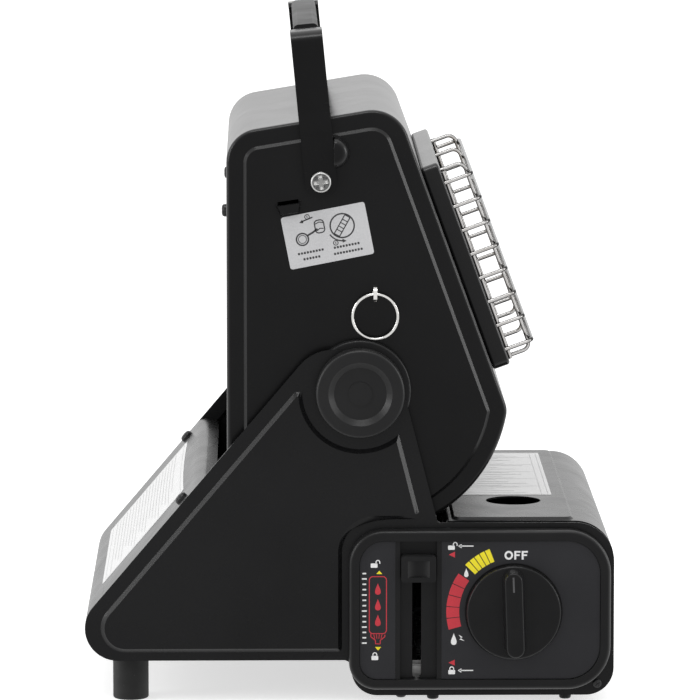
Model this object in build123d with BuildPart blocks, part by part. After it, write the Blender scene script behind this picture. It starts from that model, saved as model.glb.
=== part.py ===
"""Folding-head portable gas heater, as an assembly of separate pieces.

The base is a pressed-steel stand with a bay for a gas canister under a hinged lid. A radiant burner head
tilts on two pivots between the arms of the base. The frame is X towards the burner's front, Y from the
control panel to the plain side, Z up, with the origin at the middle of the footprint, on the ground.
"""

import os
from math import asin, atan2, cos, degrees, hypot, radians, sin, sqrt, tan

from build123d import *

os.makedirs("parts", exist_ok=True)

# ---------------------------------------------------------------- driving dimensions, millimetres
length = 266.0  # rear corner to the front of the canister bay
front_x = length / 2  # the front of the bay; the footprint is centred on the origin
panel_reach = 120.0  # outer face of a base side panel, from the mid-plane
sheet = 1.2  # base sheet metal
emboss = 2.0  # how far the raised field of a base side stands out
run_gap = 0.4  # clearance between pieces that pass each other
fold_gap = 0.3  # clearance of a stop
seat_gap = 0.05  # radial clearance of a pin or shaft in its hole
hair = 0.05  # joint line between two pieces of one body

# base profile
rear_floor = 22.0
rear_corner_r = 16.5
arm_angle = 14.4  # front edge of an arm, from the vertical
arm_end_r = 21.2
arm_shoulder_r = 22.0
arm_back = 23.47  # corner where the rear slope would meet the arm's top, behind the pivot
deck_height = 92.4  # top of the lid
deck_drop = 0.5  # the side panels end this far under the lid's top
bay_floor = 4.0
bay_length = 132.0  # front to back of the deep part of the base
bay_corner_r = 14.0
bay_top_r = 20.0
wall_flange = 6.0
field_inset = 6.8
field_floor = 4.3
cap_clear_r = 29.0  # the raised field keeps this far from the pivot axis
bend_r = 4.0  # inside bends of the sheet metal

# pivot of the head
pivot_x = front_x - 127.7
pivot_z = deck_height + 65.9
cap_r = 22.2
cap_height = 10.0
cap_wall = 1.6
cap_dish_r = 16.0
cap_dish_deep = 2.4
cap_button_r = 6.0
boss_r = 25.5
hub_r = 12.0
hub_neck_r = 10.0
hub_bore_r = 6.0
hub_inner = panel_reach - 15.0  # inner end of the hub, from the mid-plane
tube_end_reach = hub_inner - 8.0  # inner end of the gas tube
bolt_flats = 17.0

# head
head_reach = panel_reach - 10.0  # outer face of a head side
head_sheet = 1.0
head_emboss = 1.5
head_pan = 3.0  # depth of the rolled edge of a head side
head_edge_r = 2.4
head_belly_r = 75.0
head_back = 66.7  # rear wall, behind the pivot axis
head_top = 139.5  # roof over the pivot axis
head_roof_angle = 9.4
head_front = 66.2  # front wall, ahead of the pivot and square to the wall
head_front_angle = 20.0
head_back_r = 17.0
head_brow_r = 19.0
head_tip_r = 12.0
head_field_inset = 8.6
vent_count = 6
vent_long = 60.0
vent_wide = 3.5
vent_pitch = 9.0
vent_low = 52.0  # lowest vent over the pivot

# burner frame and guard: heights are down the front wall from the level of the pivot
frame_out = 9.1
frame_top = -92.3
frame_low = 16.5
frame_half = head_reach - 15.0
frame_rim = 8.5
frame_sheet = 1.0
wire_r = 1.0
guard_out = 15.3
guard_half = frame_half - 5.0
guard_bars = 8
guard_first = 11.5  # first bar below the top of the frame
guard_pitch = 12.83
guard_bend_r = 4.0
upright_spread = guard_half - 14.0
panel_edge = 4.0  # front panel past the frame, at the top and bottom

# burner
plaque_wide = 62.0
plaque_high = 66.0
plaque_thick = 13.0
plaque_sunk = 15.0  # face of the plaques, behind the face of the frame
plaque_gap = 2.0
reflector_sheet = 0.8
plenum_deep = 26.0
plenum_lip = 4.0
plenum_sheet = 1.2
shield_gap = 6.0
mixer_r = 9.0
mixer_throat_r = 6.5
mixer_mouth_r = 12.0
mixer_wall = 1.0
mixer_mouth = tube_end_reach - 9.0  # mouth of the mixing tube, from the mid-plane
jet_r = 5.0
jet_long = 8.0
tube_r = 2.0
tube_bend_r = 8.0

# handle
handle_x = pivot_x - 19.5
handle_z = pivot_z + 105.1
handle_lean = 5.6
handle_fold = 93.0
strap_width = 16.0
strap_thick = 2.0
strap_rise = 75.3  # screw axis to the top of the bail
strap_end = 8.2
strap_joggle = 2.0
joggle_low = 25.0
joggle_high = 34.0
strap_off = 4.6  # head side face to the strap's lower part
bail_bend_r = 5.0
bail_neck = 9.0  # width of the bail inside the grip
grip_half = head_reach - 22.0
grip_width = 12.5
grip_high = 8.5
screw_head_r = 5.25
screw_head_high = 2.4
shoulder_r = 3.0

# pull ring
pin_x = pivot_x + 7.6
pin_z = pivot_z + 48.6
pin_r = 1.5
pin_travel = 8.0
pin_long = 18.0
eye_r = 4.2
eye_thick = 1.8
ring_r = 11.3
ring_wire_r = 0.75
spring_r = 3.0
spring_wire_r = 0.4
spring_turns = 6

# canister and its fittings
canister_r = 33.5
canister_x = front_x - 45.0
canister_z = 44.5
nozzle_reach = panel_reach - 26.0  # end of the gas nozzle, from the mid-plane
cradle_sheet = 0.8
cradle_side = 46.0

# control panel
panel_out = 8.0  # bezel face, out from the side panel
bezel_left = front_x - 133.4
bezel_right = front_x - 2.0
bezel_low = 8.1
bezel_high = deck_height - 3.4
bezel_wall = 2.0
bezel_rim = 5.2
recess = 1.2
inlay_thick = 0.8
channel_left = bezel_left + 25.6
channel_right = channel_left + 18.5
channel_deep = 5.0
channel_rib = 2.3
slot_width = 4.5
slot_low = 13.5
knob_x = front_x - 50.8
knob_z = 47.9
knob_r = 23.7
knob_out = 5.5
knob_edge_r = 1.2
grip_bar_out = 8.0
grip_bar_width = 11.0
grip_bar_tilt = 2.0
spindle_r = 4.0
lever_x = bezel_left + 34.05  # middle of the slot
lever_z = bezel_high - 18.8
lever_high = 13.2
lever_out = 8.5
lever_travel = lever_z - slot_low - 12.7
lever_play = 0.5
pusher_travel = 6.0
pusher_reach = panel_reach - 30.5
pusher_thick = 2.5

# lid
lid_hinge_x = front_x - 83.4
lid_hinge_z = deck_height - 4.2
lid_sheet = 1.0
lid_half = panel_reach - 3.0
lid_skirt = 4.0  # straight part of the lid below its front curve
front_wall_top = deck_height - bay_top_r - lid_skirt - 0.9  # the lid closes just over it
lid_raise = 1.2  # raised middle of the lid
lid_flange = 8.0
lid_pin_r = 1.5
lid_edge_gap = 3.0
finger_x = front_x - 48.3
finger_y = -60.0
finger_r = 14.0

# feet
foot_x = 22.6 - front_x
foot_y = panel_reach - 18.0
foot_r = 9.0
foot_plate = 1.2
front_foot_r = 3.0
front_foot_y = panel_reach - 12.0
front_foot_places = (front_x - 90.7, front_x - 23.8)

# ---------------------------------------------------------------- places that follow from them
knob_reach = panel_reach + panel_out - recess + knob_out + grip_bar_out
cap_reach = panel_reach + cap_height
mid = (knob_reach - cap_reach) / 2  # mid-plane of the body, so that the whole is centred on Y
rear_x = -length / 2
bay_x = front_x - bay_length
arm_top = pivot_z + arm_end_r
deck_edge = deck_height - deck_drop
panel_inner = panel_reach - sheet
between_panels = panel_inner - hair
head_field = head_reach + head_emboss
boss_inner = head_field + run_gap
frame_high = frame_low - frame_top
frame_middle = (frame_top + frame_low) / 2
NEAR, FAR = -1, 1
mid_plane = Plane(origin=(0, mid, 0), z_dir=(0, 1, 0))


def reach(side, distance):
    """Y of a place that lies this far out from the mid-plane, on one side"""
    return mid + side * distance


def upright(side, distance):
    """Sketch plane parallel to the sides: x forward, y up, facing the control-panel side"""
    return Plane(origin=(0, reach(side, distance), 0), x_dir=(1, 0, 0), z_dir=(0, -1, 0))


def loop(*corners):
    """Closed outline through corner points, each given as x, z and the radius of its corner"""
    points = [(x, z) for x, z, r in corners]
    return FilletPolyline(*points, radius=[r for x, z, r in corners], close=True)


def disc(x, z, radius, outer, inner, mode=Mode.ADD):
    """Round plug across the sides on the control-panel side, between two distances from the mid-plane"""
    with BuildSketch(upright(NEAR, inner)) as face:
        with Locations((x, z)):
            Circle(radius)
    return extrude(face.sketch, amount=outer - inner, mode=mode)


def finish(piece, name):
    """Label a finished piece and write it"""
    piece.part.label = name
    export_step(piece.part, f"parts/{name}.step")


def finish_pair(name, *near_pieces):
    """Write pieces of the control-panel side together with their mirror images on the plain side"""
    with BuildPart() as pair:
        for near in near_pieces:
            add(near.part)
            mirror(near.part, about=mid_plane)
    finish(pair, name)


# the straight rear slope is tangent to the rounded rear corner
slope_run = pivot_x - arm_back - rear_x - rear_corner_r
slope_rise = arm_top - rear_floor - rear_corner_r
slope_angle = degrees(atan2(slope_rise, slope_run) - asin(rear_corner_r / hypot(slope_run, slope_rise)))
slope = tan(radians(slope_angle))
slope_x = rear_x + rear_corner_r * (1 - sin(radians(slope_angle)))
slope_z = rear_floor + rear_corner_r * (1 + cos(radians(slope_angle)))


def slope_at(height, inset=0.0):
    """X of the rear slope at a height, moved inwards by an inset square to it"""
    return slope_x + (height - slope_z) / slope + inset / sin(radians(slope_angle))


def arm_at(height, inset=0.0):
    """X of the arm's front edge at a height; the edge is tangent to the arm's round end"""
    lean = radians(arm_angle)
    edge = arm_end_r - inset
    return pivot_x + edge * cos(lean) + (pivot_z + edge * sin(lean) - height) * tan(lean)


def front_point(down, out):
    """X and Z of a place on the burner's side of the pivot, down the front wall and out from the pivot"""
    lean = radians(head_front_angle)
    return (
        pivot_x + out * cos(lean) + down * sin(lean),
        pivot_z + out * sin(lean) - down * cos(lean),
    )


def front_plane(out, down=0.0):
    """Sketch plane parallel to the front wall: x along Y, y up the wall, facing the burner's front"""
    lean = radians(head_front_angle)
    x, z = front_point(down, out)
    return Plane(origin=(x, mid, z), x_dir=(0, 1, 0), z_dir=(cos(lean), 0, sin(lean)))


def head_profile(inset=0.0):
    """Side profile of the head: straight back, roof and front, and a belly round the pivot"""
    belly = head_belly_r - inset
    back = head_back - inset
    front = head_front - inset
    roof = head_top - inset / cos(radians(head_roof_angle))
    rise = tan(radians(head_roof_angle))
    lean = tan(radians(head_front_angle))
    back_low = (pivot_x - back, pivot_z - sqrt(belly**2 - back**2))
    back_high = (pivot_x - back, pivot_z + roof - back * rise)
    front_foot = front / cos(radians(head_front_angle))
    brow_out = (front_foot - roof * lean) / (1 + rise * lean)
    brow = (pivot_x + brow_out, pivot_z + roof + brow_out * rise)
    tip = front_point(sqrt(belly**2 - front**2), front)
    with BuildSketch() as profile:
        with BuildLine():
            FilletPolyline(
                back_low, back_high, brow, tip, radius=[head_back_r - inset, head_brow_r - inset]
            )
            ThreePointArc(tip, (pivot_x, pivot_z - belly), back_low)
        make_face()
        fillet(profile.vertices().sort_by(Axis.X)[-1], head_tip_r - inset)
    return profile.sketch


# ================================================================ base
# base tray: one bent sheet that forms the rear floor, the deep floor of the bay and its front wall
with BuildPart() as base_tray:
    with BuildSketch(upright(FAR, between_panels)):
        with BuildLine():
            tray_top = rear_floor + 2 * rear_corner_r
            skin = FilletPolyline(
                (slope_at(tray_top), tray_top),
                (slope_at(rear_floor), rear_floor),
                (bay_x, rear_floor),
                (bay_x, bay_floor),
                (front_x, bay_floor),
                (front_x, front_wall_top),
                (front_x - wall_flange, front_wall_top),
                radius=[rear_corner_r, bend_r, bay_corner_r - 1, bay_corner_r, sheet + 0.3],
            )
            offset(skin, amount=sheet, side=Side.LEFT)
        make_face()
    extrude(amount=2 * between_panels)
finish(base_tray, "base_tray")

# rear panel: lies on the slope between the side panels, its top edge rolled in over the hollow
rear_lip = 9.0
rear_panel_top = 111.5
with BuildPart() as rear_panel:
    with BuildSketch(upright(FAR, between_panels)):
        with BuildLine():
            skin = FilletPolyline(
                (slope_at(tray_top + hair), tray_top + hair),
                (slope_at(rear_panel_top), rear_panel_top),
                (slope_at(rear_panel_top) + rear_lip, rear_panel_top - 2.5),
                radius=6.0,
            )
            offset(skin, amount=sheet, side=Side.RIGHT)
        make_face()
    extrude(amount=2 * between_panels)
finish(rear_panel, "rear_panel")

# joint strip: backs the seam between the tray and the rear panel, and takes the panel's screws
strip_high = 12.0
with BuildPart() as seam_strip:
    with BuildSketch(upright(FAR, between_panels - 1)):
        with BuildLine():
            seam_low = slope_z
            seam_high = tray_top + strip_high
            seam_in = sheet + hair
            Polyline(
                (slope_at(seam_low, seam_in), seam_low),
                (slope_at(seam_high, seam_in), seam_high),
                (slope_at(seam_high, seam_in + sheet), seam_high),
                (slope_at(seam_low, seam_in + sheet), seam_low),
                close=True,
            )
        make_face()
    extrude(amount=2 * (between_panels - 1))
finish(seam_strip, "seam_strip")

# side panels: one pressed sheet each, arm included, with a raised field that stops short of the pivot cap
field_low = rear_floor + field_floor
bezel_clear = 3.4
field_deck = bezel_high + 4.8
with BuildSketch() as field:
    with BuildLine():
        loop(
            (slope_at(field_low, field_inset), field_low, rear_corner_r - 4),
            (slope_at(pivot_z, field_inset), pivot_z, 1.5),
            (pivot_x, pivot_z, 0),
            (arm_at(pivot_z - cap_clear_r / 2, field_inset + 1), pivot_z - cap_clear_r / 2, 0),
            (arm_at(field_deck, field_inset + 1), field_deck, 2.5),
            (bezel_left - bezel_clear, field_deck, 17),
            (bezel_left - bezel_clear, field_low, 2.5),
        )
    make_face()
    with Locations((pivot_x, pivot_z)):
        Circle(cap_clear_r, mode=Mode.SUBTRACT)
with BuildPart() as side_panel_near:
    with BuildSketch(upright(NEAR, panel_inner)):
        with BuildLine():
            loop(
                (slope_at(rear_floor), rear_floor, rear_corner_r),
                (slope_at(arm_top), arm_top, arm_shoulder_r),
                (arm_at(arm_top), arm_top, arm_end_r),
                (arm_at(deck_edge), deck_edge, 2),
                (front_x, deck_edge, bay_top_r),
                (front_x, bay_floor, bay_corner_r),
                (bay_x, bay_floor, bay_corner_r - 1),
                (bay_x, rear_floor, bend_r),
            )
        make_face()
    extrude(amount=sheet)
    with BuildSketch(upright(NEAR, panel_reach)):
        add(field.sketch)
    extrude(amount=emboss, taper=45)
    with BuildSketch(upright(NEAR, panel_inner)):
        offset(field.sketch, amount=-sheet * (sqrt(2) - 1))
    extrude(amount=emboss, taper=45, mode=Mode.SUBTRACT)
    disc(pivot_x, pivot_z, hub_bore_r, panel_reach, panel_inner, Mode.SUBTRACT)
    disc(lid_hinge_x, lid_hinge_z, lid_pin_r + seat_gap, panel_reach, panel_inner, Mode.SUBTRACT)
with BuildPart() as side_panel_far:
    mirror(side_panel_near.part, about=mid_plane)
finish(side_panel_far, "side_panel_far")
lever_low = lever_z - lever_travel
stem_high = 5.0
slot_high = lever_z + stem_high / 2 + fold_gap + slot_width / 2
with BuildPart() as side_panel_open:
    add(side_panel_near.part)
    disc(knob_x, knob_z, spindle_r + 3, panel_reach, panel_inner, Mode.SUBTRACT)
    with BuildSketch(upright(NEAR, panel_inner)):
        with Locations((lever_x, (slot_low + slot_high) / 2)):
            SlotOverall(slot_high - slot_low + 2, slot_width + 2, rotation=90)
    extrude(amount=sheet, mode=Mode.SUBTRACT)
finish(side_panel_open, "side_panel_near")

# bay partition: closes the canister bay off from the space under the burner head
partition_top = pivot_z - head_belly_r - 4.0
partition_near = pusher_reach - 3.0
partition_flange = 10.0
with BuildPart() as bay_partition:
    with BuildSketch(upright(NEAR, partition_near)):
        with BuildLine():
            part_floor = bay_floor + sheet
            skin = FilletPolyline(
                (lid_hinge_x - 3 - partition_flange, part_floor),
                (lid_hinge_x - 3, part_floor),
                (lid_hinge_x - 3, partition_top),
                radius=bend_r,
            )
            offset(skin, amount=sheet, side=Side.LEFT)
        make_face()
    extrude(amount=-(partition_near + between_panels))
finish(bay_partition, "bay_partition")

# canister cradle: a channel of thin sheet that the canister lies in
with BuildPart() as canister_cradle:
    with BuildSketch(upright(NEAR, pusher_reach - 4.0)):
        with BuildLine():
            half = canister_r + 0.6
            low = canister_z - canister_r - 0.4
            skin = FilletPolyline(
                (canister_x - half, low + cradle_side),
                (canister_x - half, low),
                (canister_x + half, low),
                (canister_x + half, low + cradle_side),
                radius=6.0,
            )
            offset(skin, amount=cradle_sheet, side=Side.RIGHT)
        make_face()
    extrude(amount=-(pusher_reach - 4.0 + between_panels))
    for cross in (-60.0, 20.0, 95.0):  # bearers that stand the channel on the floor of the bay
        with BuildSketch(Plane.XY.offset(bay_floor + sheet)):
            with Locations((canister_x, mid + cross)):
                Rectangle(2 * canister_r - 18, 12)
        extrude(amount=low - cradle_sheet - bay_floor - sheet)
finish(canister_cradle, "canister_cradle")

# pivot bosses: turned spacers between arm and head, each with a hollow hub that the head side turns on
with BuildPart() as boss_near:
    disc(pivot_x, pivot_z, boss_r, panel_inner, boss_inner)
    disc(pivot_x, pivot_z, hub_r, boss_inner, head_reach - 0.1)
    disc(pivot_x, pivot_z, hub_neck_r, head_reach - 0.1, hub_inner)
    disc(pivot_x, pivot_z, hub_bore_r, panel_inner, hub_inner, Mode.SUBTRACT)
    rims = boss_near.edges().filter_by(GeomType.CIRCLE).filter_by(lambda edge: edge.radius == boss_r)
    fillet(rims, 1.0)
# the boss on the panel side is slotted for the gas tube that comes up the arm and turns into the hub
tube_reach = (panel_inner + boss_inner) / 2
tube_slot = tube_r + 1.0
tube_arm_x = pivot_x + 40.7
tube_arm_z = pivot_z - 78.3
with BuildPart() as boss_open:
    add(boss_near.part)
    with BuildSketch(upright(NEAR, tube_reach - tube_slot)):
        with BuildLine():
            route = Line((pivot_x, pivot_z), (tube_arm_x, tube_arm_z))
            offset(route, amount=tube_slot, side=Side.BOTH)
        make_face()
    extrude(amount=panel_inner - tube_reach + tube_slot, mode=Mode.SUBTRACT)
with BuildPart() as pivot_bosses:
    add(boss_open.part)
    mirror(boss_near.part, about=mid_plane)
finish(pivot_bosses, "pivot_bosses")

# retaining washers on the hub necks keep the head sides on the hubs
washer_thick = 1.7
washer_outer = head_reach - 0.1
with BuildPart() as hub_washer:
    disc(pivot_x, pivot_z, hub_r + 4, washer_outer, washer_outer - washer_thick)
    disc(pivot_x, pivot_z, hub_neck_r + hair, washer_outer, washer_outer - washer_thick, Mode.SUBTRACT)
finish_pair("hub_washers", hub_washer)
with BuildPart() as hub_nut:
    with BuildSketch(upright(NEAR, hub_inner + 0.3)):
        with Locations((pivot_x, pivot_z)):
            RegularPolygon(hub_neck_r + 3, 6, major_radius=False)
            Circle(hub_neck_r + hair, mode=Mode.SUBTRACT)
    extrude(amount=washer_outer - washer_thick - hub_inner - 0.3)
finish_pair("hub_nuts", hub_nut)

# pivot bolts: clamp each boss to its arm from outside
bolt_shank = hub_bore_r - hair
bolt_head = 4.0
with BuildPart() as pivot_bolt:
    with BuildSketch(upright(NEAR, panel_reach)):
        with Locations((pivot_x, pivot_z)):
            RegularPolygon(bolt_flats / 2, 6, major_radius=False)
    extrude(amount=bolt_head)
    disc(pivot_x, pivot_z, bolt_shank, panel_reach, tube_reach + tube_slot)
    chamfer(pivot_bolt.faces().sort_by(Axis.Y)[0].edges(), 0.6)
finish_pair("pivot_bolts", pivot_bolt)

# pivot caps: moulded covers with a dished face and a shallow centre button
with BuildPart() as pivot_cap:
    disc(pivot_x, pivot_z, cap_r, cap_reach, panel_reach)
    face_edge = pivot_cap.faces().sort_by(Axis.Y)[0].edges()
    fillet(face_edge, 1.8)
    dish_floor = cap_reach - cap_dish_deep
    with BuildSketch(upright(NEAR, cap_reach)):
        with Locations((pivot_x, pivot_z)):
            Circle(cap_dish_r)
    extrude(amount=-cap_dish_deep, taper=50, mode=Mode.SUBTRACT)
    disc(pivot_x, pivot_z, cap_button_r, dish_floor + 0.5, dish_floor)
    disc(pivot_x, pivot_z, cap_r - cap_wall, dish_floor - cap_wall, panel_reach, Mode.SUBTRACT)
finish_pair("pivot_caps", pivot_cap)

# rear feet: rubber cylinders screwed up into plates under the rear floor
foot_top = rear_floor - foot_plate
with BuildPart() as rear_foot:
    with BuildSketch(Plane.XY):
        with Locations((foot_x, reach(NEAR, foot_y))):
            Circle(foot_r)
    extrude(amount=foot_top)
    fillet(rear_foot.edges().group_by(Axis.Z)[0], 1.0)
    with BuildSketch(Plane.XY):
        with Locations((foot_x, reach(NEAR, foot_y))):
            Circle(foot_r / 2.2)
    extrude(amount=6.0, mode=Mode.SUBTRACT)
with BuildPart() as foot_plates:
    with BuildSketch(Plane.XY.offset(foot_top)):
        with Locations((foot_x + 5, reach(NEAR, foot_y))):
            RectangleRounded(foot_r * 3.2, foot_r * 2.2, 3)
    extrude(amount=foot_plate)
finish_pair("foot_plates", foot_plates)
with BuildPart() as foot_screw:
    with BuildSketch(Plane.XY.offset(3.0)):
        with Locations((foot_x, reach(NEAR, foot_y))):
            Circle(foot_r / 2.2 - 0.4)
    extrude(amount=3.0)

# front feet: small rubber buttons pushed into the floor of the bay
with BuildPart() as front_feet:
    with BuildSketch(Plane.XY):
        for foot_place in front_foot_places:
            with Locations((foot_place, reach(NEAR, front_foot_y))):
                Circle(front_foot_r)
    extrude(amount=bay_floor)
    fillet(front_feet.edges().group_by(Axis.Z)[0], 1.2)
finish_pair("rubber_feet", rear_foot, front_feet)
with BuildPart() as floor_rivet:
    with BuildSketch(Plane.XY.offset(1.2)):
        with Locations((26.1, reach(NEAR, front_foot_y + 2))):
            Circle(2.6)
    extrude(amount=bay_floor - 1.2)
    fillet(floor_rivet.edges().group_by(Axis.Z)[0], 1.2)

# ================================================================ gas fittings
# regulator: valve block behind the dial, with the knob's spindle bore and the gas nozzle
regulator_outer = panel_inner - 2.0
regulator_inner = panel_reach - 21.0
regulator_wide = 40.0
regulator_corner = 8.0
regulator_ear = 6.0  # the bracket shows this much past each side of the block
with BuildPart() as regulator:
    with BuildSketch(upright(NEAR, regulator_inner)):
        with Locations(((knob_x + canister_x) / 2, canister_z + 1)):
            RectangleRounded(regulator_wide, regulator_wide, regulator_corner)
    extrude(amount=regulator_outer - regulator_inner)
    disc(canister_x, canister_z, 13.0, regulator_inner, regulator_inner - 2.0)
    disc(knob_x, knob_z, spindle_r + seat_gap, regulator_outer, regulator_inner + 4, Mode.SUBTRACT)
    disc(canister_x, canister_z, 4.0, regulator_inner + 2.0, regulator_inner - 2.0, Mode.SUBTRACT)
finish(regulator, "regulator")
with BuildPart() as regulator_bracket:
    with BuildSketch(upright(NEAR, regulator_outer)):
        with Locations(((knob_x + canister_x) / 2, canister_z + 1)):
            RectangleRounded(regulator_wide + 2 * regulator_ear, regulator_wide + 4, regulator_corner / 2)
        with Locations((knob_x, knob_z)):
            Circle(spindle_r + 1.5, mode=Mode.SUBTRACT)
    extrude(amount=panel_inner - regulator_outer)
finish(regulator_bracket, "regulator_bracket")
with BuildPart() as gas_nozzle:
    disc(canister_x, canister_z, 3.9, regulator_inner + 1.9, nozzle_reach)
    disc(canister_x, canister_z, 7.0, regulator_inner - 2.0, nozzle_reach + 1.0)
    disc(canister_x, canister_z, 1.6, regulator_inner + 1.9, nozzle_reach, Mode.SUBTRACT)
finish(gas_nozzle, "gas_nozzle")
with BuildPart() as nozzle_seal:
    disc(canister_x, canister_z, 6.0, nozzle_reach + 1.0, nozzle_reach - 0.8)
    disc(canister_x, canister_z, 3.95, nozzle_reach + 1.0, nozzle_reach - 0.8, Mode.SUBTRACT)
finish(nozzle_seal, "nozzle_seal")

# gas tube: from the regulator up inside the near arm and through the hub into the head
outlet_x = (knob_x + canister_x - regulator_wide) / 2
outlet_run = 11.0  # straight out of the block
outlet_z = canister_z + 12.0
outlet_reach = panel_reach - 14.0
union_r = 4.6
union_long = 7.0
with BuildPart() as gas_tube:
    with BuildLine() as tube_path:
        FilletPolyline(
            (outlet_x - hair, reach(NEAR, outlet_reach), outlet_z),
            (outlet_x - outlet_run, reach(NEAR, outlet_reach), outlet_z),
            (tube_arm_x, reach(NEAR, tube_reach), tube_arm_z),
            (pivot_x, reach(NEAR, tube_reach), pivot_z),
            (pivot_x, reach(NEAR, tube_end_reach), pivot_z),
            radius=[tube_bend_r, tube_bend_r, tube_bend_r - 1.5],
        )
    with BuildSketch(Plane(origin=tube_path.line @ 0, z_dir=tube_path.line % 0)):
        Circle(tube_r)
    sweep(path=tube_path.line)
finish(gas_tube, "gas_tube")

# piezo igniter: struck by the knob's cam at the end of its turn
piezo_r = 5.5
piezo_nose_r = 3.0
piezo_x = front_x - sheet - piezo_r - 8.1
piezo_z = knob_z - 16.0
piezo_end = pusher_reach + pusher_thick + pusher_travel + 1.0  # clear of the pusher at the end of its travel
with BuildPart() as piezo_igniter:
    disc(piezo_x, piezo_z, piezo_r, panel_inner, piezo_end + 4.0)
    disc(piezo_x, piezo_z, piezo_nose_r, piezo_end + 4.0, piezo_end)
finish(piezo_igniter, "piezo_igniter")

# ================================================================ control panel
# bezel: moulded shell with a raised rim, a recessed face, a deep channel for the lever and a dial opening
bezel_x = (bezel_left + bezel_right) / 2
bezel_z = (bezel_low + bezel_high) / 2
bezel_face = panel_reach + panel_out
recess_face = bezel_face - recess
floor_face = recess_face - inlay_thick
channel_face = bezel_face - channel_deep
dial_r = knob_r + 0.8


def bezel_loop(inset):
    """Bezel outline, tighter at the lever's end than at the dial's"""
    return loop(
        (bezel_left + inset, bezel_low + inset, 14 - inset),
        (bezel_right - inset, bezel_low + inset, 22 - inset),
        (bezel_right - inset, bezel_high - inset, 22 - inset),
        (bezel_left + inset, bezel_high - inset, 17.5 - inset),
    )


with BuildPart() as control_bezel:
    with BuildSketch(upright(NEAR, panel_reach)):
        with BuildLine():
            bezel_loop(0)
        make_face()
    extrude(amount=panel_out)
    fillet(control_bezel.faces().sort_by(Axis.Y)[0].edges(), 2.2)
    with BuildSketch(upright(NEAR, panel_reach)):
        with BuildLine():
            bezel_loop(bezel_wall)
        make_face()
    extrude(amount=floor_face - bezel_wall - panel_reach, mode=Mode.SUBTRACT)
    with BuildSketch(upright(NEAR, bezel_face)):
        with BuildLine():
            bezel_loop(bezel_rim)
        make_face()
    extrude(amount=-(bezel_face - floor_face), mode=Mode.SUBTRACT)
    # the lever's channel is a trough let into the face, with a rib on each side
    channel_x = (channel_left + channel_right) / 2
    with BuildSketch(upright(NEAR, panel_reach)):
        with Locations((channel_x, bezel_z)):
            Rectangle(channel_right - channel_left + 2 * channel_rib, bezel_high - bezel_low - 2 * bezel_rim)
    extrude(amount=recess_face - panel_reach)
    with BuildSketch(upright(NEAR, channel_face)):
        with Locations((channel_x, bezel_z)):
            Rectangle(channel_right - channel_left, bezel_high - bezel_low - 2 * bezel_rim)
    extrude(amount=channel_deep, mode=Mode.SUBTRACT)
    with BuildSketch(upright(NEAR, panel_reach)):
        with Locations((lever_x, (slot_low + slot_high) / 2)):
            SlotOverall(slot_high - slot_low, slot_width, rotation=90)
        with Locations((knob_x, knob_z)):
            Circle(spindle_r + 1.0)
    extrude(amount=panel_out, mode=Mode.SUBTRACT)
    disc(knob_x, knob_z, spindle_r + 4, floor_face - bezel_wall, panel_reach)
    disc(knob_x, knob_z, spindle_r + 1, floor_face - bezel_wall, panel_reach, Mode.SUBTRACT)
finish(control_bezel, "control_bezel")

# printed inlays: one beside the lever, one round the dial
with BuildPart() as panel_inlays:
    with BuildSketch(upright(NEAR, floor_face)):
        with BuildLine():
            bezel_loop(bezel_rim + 0.3)
        make_face()
        with Locations((channel_left - channel_rib - hair, bezel_z)):
            Rectangle(length, length, align=(Align.MIN, Align.CENTER), mode=Mode.SUBTRACT)
    extrude(amount=inlay_thick)
    with BuildSketch(upright(NEAR, floor_face)):
        with BuildLine():
            bezel_loop(bezel_rim + 0.3)
        make_face()
        with Locations((channel_right + channel_rib + hair, bezel_z)):
            Rectangle(length, length, align=(Align.MAX, Align.CENTER), mode=Mode.SUBTRACT)
        with Locations((knob_x, knob_z)):
            Circle(dial_r, mode=Mode.SUBTRACT)
    extrude(amount=inlay_thick)
finish(panel_inlays, "panel_inlays")

# knob: a disc with a tapered grip bar across it
with BuildPart() as control_knob:
    knob_back = floor_face + run_gap
    disc(knob_x, knob_z, knob_r, recess_face + knob_out, knob_back)
    fillet(control_knob.faces().sort_by(Axis.Y)[0].edges(), knob_edge_r)
    with BuildSketch(upright(NEAR, recess_face + knob_out)):
        with Locations((knob_x, knob_z)):
            SlotOverall(2 * knob_r - 2.5, grip_bar_width, rotation=90 + grip_bar_tilt)
    extrude(amount=grip_bar_out, taper=8)
    fillet(control_knob.faces().sort_by(Axis.Y)[0].edges(), 1.0)
    disc(knob_x, knob_z, knob_r - bezel_wall, recess_face + knob_out - bezel_wall, knob_back, Mode.SUBTRACT)
    disc(knob_x, knob_z, spindle_r + 2.5, recess_face + knob_out - bezel_wall, knob_back)
    disc(knob_x, knob_z, spindle_r, recess_face + knob_out - bezel_wall, knob_back, Mode.SUBTRACT)
finish(control_knob, "control_knob")
with BuildPart() as knob_spindle:
    disc(knob_x, knob_z, spindle_r - hair, recess_face + knob_out - bezel_wall, panel_reach)
    disc(knob_x, knob_z, spindle_r, panel_reach, regulator_inner + 4 + run_gap)
finish(knob_spindle, "knob_spindle")

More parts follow.
